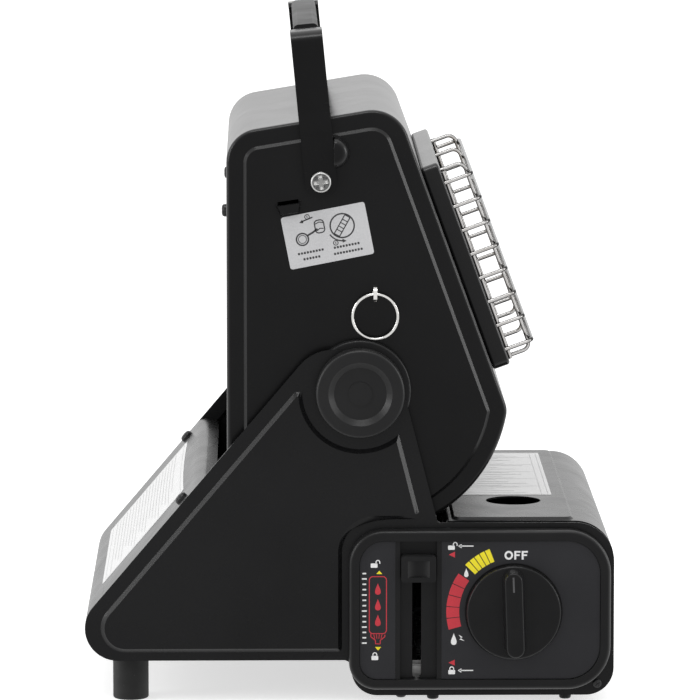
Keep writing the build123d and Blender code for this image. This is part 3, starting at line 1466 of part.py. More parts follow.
# ================================================================ fasteners of the base
# corner brackets behind the rear panel, with their screws on the slope
panel_screw_z = 102.0
panel_screw_reach = 106.0
slope_turn = radians(slope_angle)
with BuildPart() as rear_bracket:
    bracket_place = Plane(
        origin=(slope_at(panel_screw_z, sheet + hair), reach(NEAR, 0), panel_screw_z),
        x_dir=(0, 1, 0),
        z_dir=(sin(slope_turn), 0, -cos(slope_turn)),
    )
    with BuildSketch(bracket_place):
        with Locations((-(between_panels + panel_screw_reach - 8) / 2, 0)):
            Rectangle(between_panels - panel_screw_reach + 8, 16)
    extrude(amount=sheet)
    with BuildSketch(bracket_place):
        with Locations((-between_panels + sheet / 2, 0)):
            Rectangle(sheet, 16)
    extrude(amount=10)
finish_pair("rear_brackets", rear_bracket)
with BuildPart() as panel_screw:
    with BuildSketch(
        Plane(
            origin=(slope_at(panel_screw_z), reach(NEAR, panel_screw_reach), panel_screw_z),
            z_dir=(-sin(slope_turn), 0, cos(slope_turn)),
        )
    ):
        Circle(3.4)
    extrude(amount=2.0)
    fillet(panel_screw.faces().sort_by(Axis.X)[0].edges(), 1.0)
with BuildPart() as corner_screw:
    disc(bezel_right - 6.3, bezel_low + 1.8, 2.3, panel_reach + 1.2, panel_reach)
    fillet(corner_screw.faces().sort_by(Axis.Y)[0].edges(), 0.7)
finish_pair("base_screws", foot_screw, floor_rivet, panel_screw, corner_screw)
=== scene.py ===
import math

import bpy
import numpy as np
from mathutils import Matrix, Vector


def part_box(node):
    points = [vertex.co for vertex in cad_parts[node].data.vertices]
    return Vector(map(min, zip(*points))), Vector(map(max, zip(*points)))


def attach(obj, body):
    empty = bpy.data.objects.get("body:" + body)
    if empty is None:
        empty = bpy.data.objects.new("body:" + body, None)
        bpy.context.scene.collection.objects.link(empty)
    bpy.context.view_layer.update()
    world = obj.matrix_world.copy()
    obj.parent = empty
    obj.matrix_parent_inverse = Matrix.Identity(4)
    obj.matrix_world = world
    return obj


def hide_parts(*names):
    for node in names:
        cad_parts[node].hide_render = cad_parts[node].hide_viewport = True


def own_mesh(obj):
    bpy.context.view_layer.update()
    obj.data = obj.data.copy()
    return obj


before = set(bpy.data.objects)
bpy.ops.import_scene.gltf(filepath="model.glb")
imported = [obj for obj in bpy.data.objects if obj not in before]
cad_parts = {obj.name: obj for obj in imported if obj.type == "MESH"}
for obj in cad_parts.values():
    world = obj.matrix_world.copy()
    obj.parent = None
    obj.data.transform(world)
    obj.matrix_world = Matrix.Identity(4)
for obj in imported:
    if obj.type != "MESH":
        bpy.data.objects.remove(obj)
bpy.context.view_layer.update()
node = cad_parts
MM = 0.001  # pieces below are worked out in millimetres and stored in metres
mid_y = 5.15  # the body's mid-plane: the dial makes the near side reach further out than the far one


# ---------------------------------------------------------------------------------------------------
# Base shell and lid: pressed sheet-steel panels, folded and screwed round an open tray.
# Stoved with satin black enamel: a faint orange peel on the flats, clouded gloss, odd flecks of dust.
# ---------------------------------------------------------------------------------------------------
def new_material(name):
    """An empty material whose nodes end in one Principled shader; gives the material and that shader"""
    made = bpy.data.materials.new(name)
    made.use_nodes = True
    return made, made.node_tree.nodes["Principled BSDF"]


def put(shader, kind, **settings):
    """Adds a node of a kind to the shader's tree; names in capitals fill its sockets, others its settings"""
    added = shader.id_data.nodes.new("ShaderNode" + kind)
    for key, value in settings.items():
        if key[0].isupper():
            added.inputs[key.replace("_", " ")].default_value = value
        else:
            setattr(added, key, value)
    return added


def join(shader, start, out, end, into):
    """Leads one socket into another; out and into are socket names or numbers"""
    shader.id_data.links.new(start.outputs[out], end.inputs[into])


def placed(shader, scale=(1, 1, 1), turn=(0, 0, 0)):
    """Object coordinates through a mapping that stretches and turns the pattern"""
    where = put(shader, "TexCoord")
    mapped = put(shader, "Mapping", Rotation=turn, Scale=scale)
    join(shader, where, "Object", mapped, "Vector")
    return mapped


def noise(shader, where, scale, detail=3.0, rough=0.5, twist=0.0):
    """Cloudy noise from 0 to 1; scale is in lumps a metre"""
    made = put(shader, "TexNoise", Scale=scale, Detail=detail, Roughness=rough, Distortion=twist)
    join(shader, where, "Vector", made, "Vector")
    return made


def span(shader, source, out, low, high, start, end):
    """A straight rescale of a value from the span low..high to the span start..end, held at its ends"""
    scaled = put(shader, "MapRange", From_Min=low, From_Max=high, To_Min=start, To_Max=end)
    join(shader, source, out, scaled, "Value")
    return scaled


def combined(shader, how, first, out, second, second_out="Value"):
    """Arithmetic of two nodes' values, or of a node's value and a number"""
    made = put(shader, "Math", operation=how)
    join(shader, first, out, made, 0)
    if isinstance(second, (int, float)):
        made.inputs[1].default_value = second
    else:
        join(shader, second, second_out, made, 1)
    return made


def tint(shader, amount, first, second):
    """Mixes a colour, or another mix, with a colour by a value from 0 to 1; gives the mix's socket"""
    mixed = put(shader, "Mix", data_type="RGBA")
    if isinstance(first, tuple):
        mixed.inputs["A"].default_value = (*first, 1)
    else:
        shader.id_data.links.new(first, mixed.inputs["A"])
    mixed.inputs["B"].default_value = (*second, 1)
    shader.id_data.links.new(amount, mixed.inputs["Factor"])
    return [s for s in mixed.outputs if s.type == "RGBA"][0]


def paint(shader, colour):
    """Leads a colour socket into the shader's base colour"""
    shader.id_data.links.new(colour, shader.inputs["Base Color"])


def relief(shader, source, out, depth, strength=0.3):
    """Bumps of a depth in metres from a value"""
    bump = put(shader, "Bump", Strength=strength, Distance=depth)
    join(shader, source, out, bump, "Height")
    join(shader, bump, "Normal", shader, "Normal")


def coat(name, dark, light, rough, peel, gloss, fleck=0.0, cloud=14.0, edge=0.6):
    """A sprayed or moulded skin: cloudy colour between dark and light, roughness that wanders by itself,
    a fine skin of bumps peel millimetres wide, and now and then a fleck that is duller and paler. Its gloss
    is low face on and rises to edge where the skin is seen along its surface, as a matted lacquer's does"""
    made, skin = new_material(name)
    where = placed(skin)
    clouds = noise(skin, where, cloud, 4.0, 0.55)
    body = tint(skin, span(skin, clouds, "Fac", 0.35, 0.65, 0.0, 1.0).outputs[0], dark, light)
    specks = put(skin, "TexVoronoi", Scale=300.0)
    join(skin, where, "Vector", specks, "Vector")
    dust = span(skin, specks, "Distance", 0.06, 0.11, fleck, 0.0)
    paint(skin, tint(skin, dust.outputs[0], body, tuple(2.0 * c + 0.015 for c in light)))
    handled = noise(skin, where, cloud * 3.1, 5.0, 0.6, 0.4)
    join(skin, span(skin, handled, "Fac", 0.3, 0.7, rough[0], rough[1]), "Result", skin, "Roughness")
    relief(skin, noise(skin, where, 1000.0 / peel, 2.0), "Fac", peel * 0.000012, 0.15)
    turned = put(skin, "LayerWeight", Blend=0.5)
    shine = span(skin, turned, "Facing", 0.03, 0.42, gloss, edge)
    join(skin, shine, "Result", skin, "Specular IOR Level")
    return made


def dress(material, *names):
    """Gives one material to whole CAD nodes"""
    for name in names:
        mesh = node[name].data
        mesh.materials.clear()
        mesh.materials.append(material)


enamel_dark, enamel_light = (0.0062, 0.0062, 0.0066), (0.0086, 0.0086, 0.0091)
enamel = coat("stoved_enamel", enamel_dark, enamel_light, rough=(0.24, 0.30), peel=1.2, gloss=0.15, fleck=0.2)
dress(enamel, "base_tray", "side_panel_near", "side_panel_far", "rear_panel", "lid")


# ---------------------------------------------------------------------------------------------------
# Steel inside the base and the head: partition, cradle, brackets and foot plates, cut from plated strip.
# The zinc shows small crystals that catch the light differently, and faint rolling lines under them.
# ---------------------------------------------------------------------------------------------------
def plated(name, colour, rough, crystal=420.0, roll=(1, 0.04, 1)):
    """Zinc-plated sheet: flat crystals that differ in shade and gloss, over fine drawn-out roll marks"""
    made, skin = new_material(name)
    spangle = put(skin, "TexVoronoi", Scale=crystal)
    join(skin, placed(skin), "Vector", spangle, "Vector")
    shade = put(skin, "SeparateColor")
    join(skin, spangle, "Color", shade, "Color")
    rolled = noise(skin, placed(skin, scale=roll), 1500.0, 5.0, 0.6)
    both = combined(skin, "MULTIPLY", rolled, "Fac", shade, "Red")
    dull = tuple(0.80 * c for c in colour)
    bright = tuple(min(1.0, 1.10 * c) for c in colour)
    paint(skin, tint(skin, span(skin, both, "Value", 0.1, 0.5, 0.0, 1.0).outputs[0], dull, bright))
    join(skin, span(skin, shade, "Green", 0.0, 1.0, rough[0], rough[1]), "Result", skin, "Roughness")
    relief(skin, rolled, "Fac", 0.000006, 0.3)
    skin.inputs["Metallic"].default_value = 1.0
    return made


zinc = plated("zinc_plate", (0.52, 0.53, 0.54), rough=(0.26, 0.40))
dress(zinc, "seam_strip", "bay_partition", "canister_cradle", "rear_brackets", "regulator_bracket")
dress(zinc, "foot_plates", "canister_pusher", "head_braces", "burner_brackets", "handle_spacers")


# ---------------------------------------------------------------------------------------------------
# Plate on the rear slope: a bare white film with a printed keyline and pale rules, its top edge bowed.
# It is stuck flat on the enamel between the panel's two screws.
# ---------------------------------------------------------------------------------------------------
def rounded(wide, high, radius, steps=6):
    """Closed outline of a rectangle about its middle, each corner a quarter circle"""
    turn = np.linspace(0, math.pi / 2, steps)
    quarter = np.arange(4)[:, None] * math.pi / 2 + turn[None, :]
    side = np.array([[1, 1], [-1, 1], [-1, -1], [1, -1]])
    middle = side * (np.array([wide, high]) / 2 - radius)
    corner = middle[:, None, :] + radius * np.stack([np.cos(quarter), np.sin(quarter)], 2)
    return corner.reshape(-1, 2)


def prism(outline, low, high):
    """A closed outline carried straight from one height to another, with a cap at each end"""
    count = len(outline)
    levels = [np.column_stack([outline, np.full(count, level)]) for level in (low, high)]
    here = np.arange(count)
    after = np.roll(here, -1)
    walls = np.stack([here, after, after + count, here + count], 1).tolist()
    return np.vstack(levels), walls + [(here + count).tolist(), here[::-1].tolist()]


def stroke(path, wide, low, high, closed=False):
    """A flat line of even width: a rectangle carried along a path, joined end to end if the path is closed"""
    path = np.asarray(path, float)
    if closed:
        run = np.roll(path, -1, 0) - np.roll(path, 1, 0)
    else:
        run = np.gradient(path, axis=0)
    run /= np.linalg.norm(run, axis=1)[:, None]
    side = np.stack([-run[:, 1], run[:, 0]], 1) * wide / 2
    corners = [(path + side, low), (path - side, low), (path - side, high), (path + side, high)]
    points = np.stack([np.column_stack([at, np.full(len(path), level)]) for at, level in corners], 1)
    rows = np.arange(len(path) if closed else len(path) - 1)
    here = 4 * rows[:, None] + np.arange(4)
    ahead = 4 * (np.roll(rows, -1) if closed else rows + 1)[:, None] + np.arange(4)
    walls = np.stack([here, ahead, np.roll(ahead, -1, 1), np.roll(here, -1, 1)], 2).reshape(-1, 4)
    last = 4 * (len(path) - 1)
    ends = [] if closed else [[0, 1, 2, 3], [last + 3, last + 2, last + 1, last]]
    return points.reshape(-1, 3), walls.tolist() + ends


def on_plane(origin, across, up):
    """A flat place for marks: gives a function from (across, up, height) in millimetres to world metres"""
    across, up = np.asarray(across, float), np.asarray(up, float)
    turn = np.stack([across, up, np.cross(across, up)])
    return lambda points: (np.asarray(origin, float) + points @ turn) * MM


def build(name, parts, lay, material, body, smooth=False, painted_shade=None):
    """Joins (points, faces) parts into one object, laid in place, dressed, and carried by a body.
    A number for each point, if given, is kept as the attribute that the material reads; the screw heads use
    it for painted shade and painted highlights"""
    points, faces, start = [], [], 0
    for part_points, part_faces in parts:
        points.append(part_points)
        faces += [[start + corner for corner in face] for face in part_faces]
        start += len(part_points)
    mesh = bpy.data.meshes.new(name)
    mesh.from_pydata(lay(np.vstack(points)).tolist(), [], faces)
    mesh.update()
    if smooth:
        mesh.shade_smooth()
    else:
        mesh.shade_flat()
    mesh.materials.append(material)
    if painted_shade is not None:
        mesh.attributes.new("painted_shade", "FLOAT", "POINT").data.foreach_set("value", painted_shade)
    made = bpy.data.objects.new(name, mesh)
    bpy.context.scene.collection.objects.link(made)
    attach(made, body)
    return made


def film(name, colour, shade, rough=(0.32, 0.46)):
    """Printed plastic film: an even colour with faint fibres of shade in it and a slightly uneven gloss"""
    made, skin = new_material(name)
    where = placed(skin)
    fibres = noise(skin, where, 1800.0, 3.0, 0.7)
    body = tint(skin, span(skin, fibres, "Fac", 0.35, 0.7, 0.0, 1.0).outputs[0], colour, shade)
    aged = noise(skin, where, 30.0, 3.0)
    paint(skin, tint(skin, span(skin, aged, "Fac", 0.5, 0.8, 0.0, 0.6).outputs[0], body, shade))
    join(skin, span(skin, aged, "Fac", 0.3, 0.7, rough[0], rough[1]), "Result", skin, "Roughness")
    relief(skin, fibres, "Fac", 0.00001, 0.15)
    skin.inputs["Specular IOR Level"].default_value = 0.5
    return made


white_film = film("white_film", (0.86, 0.86, 0.86), (0.78, 0.78, 0.78), rough=(0.12, 0.20))
slope_turn = math.radians(49.6)
slope_up = (math.cos(slope_turn), 0, math.sin(slope_turn))
slope_foot = np.array([-129.065, mid_y, 49.194])  # where the straight slope leaves the rounded rear corner
plate_low, plate_high, plate_half, plate_bow = 6.0, 70.0, 84.0, 1.5
plate_mid = (plate_low + plate_high) / 2
plate_far = 5.0  # the plate sits this much further from the controls than the panel's middle
plate_origin = slope_foot + plate_mid * np.array(slope_up) + (0, plate_far, 0)
rear_place = on_plane(plate_origin, (0, -1, 0), slope_up)
film_low, film_high, rule_high = 0.02, 0.14, 0.17  # the film's faces over the enamel, and its ink's top


def bowed(outline, rise, half):
    """Bends an outline's upper half down by a shallow parabola that is deepest at the middle"""
    drop = plate_bow * (1 - (outline[:, 0] / half) ** 2) * np.clip(outline[:, 1] / rise, 0, 1)
    return np.column_stack([outline[:, 0], outline[:, 1] - drop])


def edged(outline, steps):
    """Adds points between an outline's corners so that it can be bent"""
    share = np.arange(steps)[None, :, None] / steps
    ahead = np.roll(outline, -1, 0)
    return (outline[:, None] * (1 - share) + ahead[:, None] * share).reshape(-1, 2)


plate_tall = plate_high - plate_low
rear_edge = bowed(edged(rounded(2 * plate_half, plate_tall, 2.0), 8), plate_tall / 2, plate_half)
build("rear_plate", [prism(rear_edge, film_low, film_high)], rear_place, white_film, "base")
keyline = edged(rounded(2 * plate_half - 5, plate_tall - 5, 1.2), 8)
keyline = bowed(keyline, plate_tall / 2, plate_half)
rules = [stroke(keyline, 0.35, film_high, rule_high, closed=True)]
first_rule, rule_pitch, rule_margin = -26.0, 2.7, 6
for row in range(19):
    level = first_rule + rule_pitch * row
    start = -plate_half + rule_margin + (row % 3) * 1.5
    end = plate_half - rule_margin - (row * 5 % 7) * 6.0
    line = np.column_stack([np.linspace(start, end, 24), np.full(24, level)])
    rules.append(stroke(bowed(line, plate_tall / 2, plate_half), 0.5, film_high, rule_high))
pale_ink = film("pale_ink", (0.62, 0.62, 0.62), (0.55, 0.55, 0.55))
build("rear_plate_rules", rules, rear_place, pale_ink, "base")


# ---------------------------------------------------------------------------------------------------
# Feet and screws: moulded rubber feet on the rear corners, small rubber buttons under the bay, and black
# pan-head screws, each pressed with a cross recess.
# ---------------------------------------------------------------------------------------------------
rubber_dark, rubber_light = (0.011, 0.011, 0.011), (0.020, 0.020, 0.020)
rubber = coat("foot_rubber", rubber_dark, rubber_light, rough=(0.60, 0.80), peel=0.8, gloss=0.3, fleck=0.6)
dress(rubber, "rubber_feet", "nozzle_seal")
screw_dark, screw_light = (0.008, 0.008, 0.009), (0.014, 0.014, 0.015)
black_screw = coat("blackened_steel", screw_dark, screw_light, rough=(0.20, 0.34), peel=0.25, gloss=0.4)
dress(black_screw, "base_screws", "head_screws", "lid_pins")


def screw_face(radius, rise, cross_wide, cross_long, deep, rings=30, turns=96):
    """A pan head on a polar grid: a flattened dome, its middle pressed down in a cross with sloping walls.
    Height is rise times (1 - (r / radius) to the fourth), less deep where a point lies in the cross.
    Also gives each point's painted shade: most on the face, less in the cross, none at its edges and on the
    rim, which stay bright as painted highlights"""
    r = np.linspace(0, 1, rings + 1)[1:, None] * radius
    turn = np.arange(turns)[None, :] * 2 * math.pi / turns
    x, y = r * np.cos(turn), r * np.sin(turn)
    narrow = np.minimum(np.abs(x), np.abs(y)) - cross_wide / 2
    reach = np.maximum(np.abs(x), np.abs(y)) - cross_long / 2
    inside = np.clip(-np.maximum(narrow, reach) / (0.12 * cross_wide) + 0.5, 0, 1)
    high = rise * (1 - (r / radius) ** 4) - deep * inside * inside * (3 - 2 * inside)
    # painted light: the face is darkened as painted shade, the cross's floor less, and the rim and the
    # cross's edges stay bright as painted highlights
    beside = np.clip(np.maximum(narrow, reach) / (0.35 * cross_wide), 0, 1)
    painted_rim_highlight = np.clip((r / radius - 0.86) / 0.04, 0, 1)
    painted_darkening = np.where(inside > 0.9, 0.6, 0.95 * beside * (1 - painted_rim_highlight))
    painted_darkening = np.concatenate([painted_darkening.ravel(), np.zeros(turns), [0.6, 0.0]])
    seat_level = -0.4
    grid = np.stack([x, y, high + 0 * x], 2).reshape(-1, 3)
    foot = np.column_stack([grid[-turns:, :2], np.full(turns, seat_level)])
    points = np.vstack([grid, foot, [[0, 0, rise - deep], [0, 0, seat_level]]])
    row = np.arange(turns)
    after = np.roll(row, -1)
    level = turns * np.arange(rings)[:, None]
    skin = np.stack([level + row, level + turns + row, level + turns + after, level + after], 2)
    top, under = len(points) - 2, len(points) - 1
    caps = np.stack([np.full(turns, top), row, after], 1).tolist()
    base = rings * turns
    seat = np.stack([np.full(turns, under), base + after, base + row], 1).tolist()
    return points, skin.reshape(-1, 4).tolist() + caps + seat, painted_darkening


def screw(name, centre, across, up, size, material, body, turn=0.0):
    """A cross-recess head on the plane of across and up, turned by an angle in its seat"""
    across, up = np.asarray(across, float), np.asarray(up, float)
    first = math.cos(turn) * across + math.sin(turn) * up
    second = math.cos(turn) * up - math.sin(turn) * across
    points, faces, painted_darkening = screw_face(*size)
    lay = on_plane(centre, first, second)
    return build(name, [(points, faces)], lay, material, body, smooth=True, painted_shade=painted_darkening)


# a head's radius and rise, then the width, length and depth of its cross
small_head = (3.0, 0.7, 0.85, 3.6, 0.55)
tiny_head = (2.1, 0.45, 0.62, 2.8, 0.4)
slope_screw_z, slope_screw_side, slope_screw_out = 102.0, 106.0, 1.95
corner_x, corner_side, corner_z = 124.7, 121.15, 9.9
back_x, back_side, back_z = -63.15, 95.0, 247.0
screw_up = (slope_screw_z - slope_foot[2]) / math.sin(slope_turn)
slope_out = np.array([-slope_up[2], 0, slope_up[0]])
for side, name in ((-1, "near"), (1, "far")):
    seat = slope_foot + screw_up * np.array(slope_up) + slope_screw_out * slope_out
    seat[1] += side * slope_screw_side
    screw("slope_screw_" + name, seat, (0, -1, 0), slope_up, small_head, black_screw,
          "base", turn=0.5)
    corner = (corner_x, mid_y + side * corner_side, corner_z)
    along = (-side, 0, 0)
    screw("corner_screw_" + name, corner, along, (0, 0, 1), tiny_head, black_screw,
          "base", turn=0.6)
    back = (back_x, mid_y + side * back_side, back_z)
    screw("back_screw_" + name, back, (0, -1, 0), (0, 0, 1), small_head, black_screw,
          "head", turn=0.3)


# ---------------------------------------------------------------------------------------------------
# Gas fittings: a die-cast regulator block, turned brass nozzle, jet and union, and drawn tube.
# They sit behind the control panel and inside the near arm; the tube passes the hollow hub into the head.
# ---------------------------------------------------------------------------------------------------
def drawn(name, colour, rough, fine=1200.0, grain=(1, 1, 1), depth=0.000005):
    """Bare metal with tool marks: shade, gloss and relief follow one noise, drawn out along the grain"""
    made, skin = new_material(name)
    lines = noise(skin, placed(skin, scale=grain), fine, 6.0, 0.65)
    drift = noise(skin, placed(skin), 45.0, 3.0)
    both = combined(skin, "MULTIPLY", combined(skin, "ADD", lines, "Fac", drift, "Fac"), "Value", 0.5)
    dull = tuple(0.84 * c for c in colour)
    bright = tuple(min(1.0, 1.06 * c) for c in colour)
    paint(skin, tint(skin, span(skin, both, "Value", 0.35, 0.65, 0.0, 1.0).outputs[0], dull, bright))
    join(skin, span(skin, lines, "Fac", 0.3, 0.7, rough[0], rough[1]), "Result", skin, "Roughness")
    relief(skin, lines, "Fac", depth, 0.35)
    skin.inputs["Metallic"].default_value = 1.0
    return made


brass = drawn("turned_brass", (0.72, 0.53, 0.25), rough=(0.16, 0.30), grain=(1, 0.2, 1))
dress(brass, "gas_nozzle", "gas_jet", "swivel_union", "burner_pipe", "knob_spindle")
# the tube's brass is made dark, close to black, so that it stays dark where it shows in the gap under the
# head: painted shade
darkened_tube_brass = drawn("shade_darkened_brass", (0.26, 0.19, 0.10), rough=(0.34, 0.48), grain=(1, 1, 0.2))
dress(darkened_tube_brass, "gas_tube")
cast = drawn("die_casting", (0.55, 0.55, 0.56), rough=(0.38, 0.55), fine=700.0, depth=0.00003)
dress(cast, "regulator")


# ---------------------------------------------------------------------------------------------------
# Control panel: a moulded bezel with two printed plates let into it, a deep channel for the lever, and the
# dial. Black polymer with a fine spark-eroded grain; the plates are dark grey film under a clear coat.
# ---------------------------------------------------------------------------------------------------
mould_dark, mould_light = (0.0070, 0.0070, 0.0074), (0.0100, 0.0100, 0.0105)
moulding = coat("moulded_black", mould_dark, mould_light, rough=(0.32, 0.42), peel=0.5, gloss=0.15,
                cloud=24.0)
dress(moulding, "control_bezel", "lever_tab", "lever_slider", "piezo_igniter", "pivot_bosses")
slate_dark, slate_light = (0.0185, 0.0185, 0.0210), (0.0220, 0.0220, 0.0248)
dark_film = coat("dark_film", slate_dark, slate_light, rough=(0.36, 0.46), peel=0.35, gloss=0.19, cloud=30.0)
dress(dark_film, "panel_inlays")
dial_dark, dial_light = (0.0062, 0.0062, 0.0066), (0.0090, 0.0090, 0.0094)
dial_black = coat("dial_black", dial_dark, dial_light, rough=(0.28, 0.38), peel=0.5, gloss=0.14, cloud=28.0)
dress(dial_black, "control_knob")

yellow_ink = film("yellow_ink", (0.95, 0.82, 0.01), (0.88, 0.74, 0.01))
red_ink = film("red_ink", (0.62, 0.025, 0.045), (0.52, 0.02, 0.035))
white_ink = film("white_ink", (0.90, 0.90, 0.90), (0.82, 0.82, 0.82))
print_reach = 126.8  # the printed face, from the mid-plane
print_place = on_plane((0, mid_y - print_reach, 0), (1, 0, 0), (0, 0, 1))
dial_x, dial_z = 82.2, 47.9
ink_low, ink_high = 0.01, 0.05


def sector(inner, outer, start, end, steps=6):
    """Outline of a block between two radii and two angles in degrees about the dial's middle"""
    turn = np.radians(np.linspace(start, end, steps))
    spokes = np.stack([np.cos(turn), np.sin(turn)], 1)
    return np.vstack([outer * spokes, inner * spokes[::-1]]) + (dial_x, dial_z)


def arc(x, z, radius, start, end, steps=24, squash=1.0):
    """Points on a circle, or on an ellipse of height squash times its width, between two angles in degrees"""
    turn = np.radians(np.linspace(start, end, steps))
    return np.stack([x + radius * np.cos(turn), z + radius * squash * np.sin(turn)], 1)


def ring(x, z, radius, squash=1.0):
    """A closed circle or ellipse without its repeated last point"""
    return arc(x, z, radius, 0, 352.5, 48, squash)


def flame(x, z, wide, high):
    """Outline of a drop with its point up: x is 0.65 wide sin t times (sin t/2) squared, z is high/2 cos t"""
    turn = np.linspace(0, 2 * math.pi, 25)[:-1]
    drop = np.stack([0.65 * wide * np.sin(turn) * np.sin(turn / 2) ** 2, high / 2 * np.cos(turn)], 1)
    return drop[::-1] + (x, z)


def inked(outline):
    """A filled mark on the panel"""
    return prism(np.asarray(outline, float), ink_low, ink_high)


def ink_line(path, wide, closed=False):
    """A printed line on the panel"""
    return stroke(path, wide, ink_low, ink_high, closed)


def padlock(x, z, open_shackle):
    """A small padlock: a filled body and a shackle that stands over it, swung aside when open"""
    shift = 1.9 if open_shackle else 0.0
    shackle = 0.95
    left, right = x - shackle + shift, x + shackle + shift
    crown = arc(x + shift, z + 1.1, shackle, 180, 0, 12)
    bow = np.vstack([[left, z + 0.3], crown, [right, z + 0.3]])
    return [inked(rounded(3.4, 2.2, 0.4) + (x, z - 0.6)), ink_line(bow, 0.5)]


low_blocks = [inked(sector(27.1, 34.0, 111.0 + 5.1 * k, 115.3 + 5.1 * k)) for k in range(5)]
build("low_heat_blocks", low_blocks, print_place, yellow_ink, "base")
high_blocks = [inked(sector(27.3, 33.8, 145.0 + 10.3 * k, 154.6 + 10.3 * k)) for k in range(5)]
build("high_heat_blocks", high_blocks, print_place, red_ink, "base")
pointers = [inked([(13.3, 67.1), (16.3, 67.1), (14.8, 68.8)])]
pointers.append(inked([(12.7, 30.0), (14.2, 28.2), (15.7, 30.0)]))
build("lever_pointers", pointers, print_place, yellow_ink, "base")

# a canister with three drops on it, and two arrowheads that point at the lever's channel
canister_mark = [inked([(49.6, z), (52.7, z - 1.5), (52.7, z + 1.5)]) for z in (76.85, 21.9)]
canister_x = 14.1
canister_mark += [inked(flame(canister_x, 43.6 + 8.0 * k, 3.4, 6.0)) for k in range(3)]
canister_mark += [ink_line([(12.0 + 1.4 * k, 36.4), (12.6 + 1.0 * k, 34.2)], 0.35) for k in range(4)]
bottle = rounded(8.6, 29.0, 1.8) + (canister_x, 51.3)
neck = np.array([(10.6, 36.8), (10.6, 35.2), (12.9, 33.4), (12.9, 31.6),
                 (15.3, 31.6), (15.3, 33.4), (17.6, 35.2), (17.6, 36.8)])
canister_mark.append(ink_line(edged(bottle, 2), 0.45, closed=True))
canister_mark.append(ink_line(edged(neck, 3)[:-3], 0.45))
build("canister_mark", canister_mark, print_place, red_ink, "base")

# the word OFF over the dial, ticks beside the canister, arrows, two drops, a spark and four padlocks
letter_bar = 1.0
letter_foot, letter_mid, letter_top = 74.25, 76.5, 78.65
white_marks = [ink_line(ring(79.65, 76.45, 1.65, 1.06), letter_bar, closed=True)]
for left in (82.9, 86.6):
    white_marks.append(ink_line([(left, letter_foot), (left, letter_mid), (left, letter_top)], letter_bar))
    white_marks.append(ink_line([(left + 0.5, 78.2), (left + 1.5, 78.2), (left + 2.6, 78.2)], 0.9))
    white_marks.append(ink_line([(left + 0.5, 76.5), (left + 1.3, 76.5), (left + 2.2, 76.5)], 0.85))
tick_x, tick_foot, tick_pitch = 7.3, 32.0, 2.72
for k in range(14):
    tick = rounded(1.9 if k % 3 else 2.5, 0.75, 0.2)
    white_marks.append(inked(tick + (tick_x, tick_foot + tick_pitch * k)))
for z in (81.2, 17.9):
    white_marks.append(ink_line([(55.0, z), (58.0, z), (62.0, z)], 0.55))
    white_marks.append(inked([(54.2, z), (56.0, z - 1.1), (56.0, z + 1.1)]))
white_marks += [inked(flame(58.4, 67.7, 2.6, 4.6)), inked(flame(52.2, 34.0, 3.4, 6.2))]
spark = [(55.9, 34.4), (55.0, 33.7), (57.7, 32.9), (55.7, 34.3), (56.6, 34.9), (54.6, 36.2)]
white_marks.append(inked(spark))
white_marks += padlock(12.2, 72.0, True) + padlock(12.6, 25.0, False)
white_marks += padlock(50.9, 81.0, True) + padlock(51.2, 17.7, False)
build("white_marks", white_marks, print_place, white_ink, "base")

# the dial's pointer is a line pressed into its grip bar and rubbed with grey
bar_reach = 140.3  # the grip bar's face, from the mid-plane
pointer_grey = film("pointer_grey", (0.075, 0.075, 0.078), (0.055, 0.055, 0.058))
pointer_place = on_plane((0, mid_y - bar_reach, 0), (1, 0, 0), (0, 0, 1))
pointer_line = stroke([(81.45, 67.4), (81.6, 63.5), (81.75, 59.8)], 0.9, -0.05, 0.03)
build("dial_pointer", [pointer_line], pointer_place, pointer_grey, "knob")

# spring tongue behind the lever's slot: a strip that stands on the floor of the tray, bent at its tip
spring_steel = drawn("spring_strip", (0.78, 0.78, 0.77), rough=(0.42, 0.52), grain=(1, 1, 0.05))
tongue_x, tongue_reach, tongue_wide, tongue_thick = 31.9, 110.9, 4.4, 0.5
tongue_rise = np.linspace(5.25, 20.4, 16)
tongue_bend = 0.5 * np.clip((tongue_rise - 17.0) / 3.0, 0, 1) ** 2
tongue_path = np.column_stack([tongue_rise, tongue_bend])
tongue_place = on_plane((tongue_x, mid_y - tongue_reach, 0), (0, 0, 1), (0, -1, 0))
tongue = stroke(tongue_path, tongue_thick, 0.0, tongue_wide)
build("spring_tongue", [tongue], tongue_place, spring_steel, "base")


# ---------------------------------------------------------------------------------------------------
# Plate on the lid: a bare white film with a keyline and the rules of a table, stuck on the raised middle.
# It hinges up with the lid.
# ---------------------------------------------------------------------------------------------------
lid_top = 93.6
lid_left, lid_right, lid_near, lid_far = 54.0, 105.3, -42.5, 101.0
lid_wide, lid_deep = lid_right - lid_left, lid_far - lid_near
lid_middle = ((lid_left + lid_right) / 2, mid_y + (lid_near + lid_far) / 2, lid_top)
lid_place = on_plane(lid_middle, (1, 0, 0), (0, 1, 0))
lid_edge = rounded(lid_wide, lid_deep, 1.0)
build("lid_plate", [prism(lid_edge, film_low, film_high)], lid_place, white_film, "lid")


def table_line(path, wide, closed=False):
    """A printed rule on the lid's plate"""
    return stroke(path, wide, film_high, rule_high, closed)


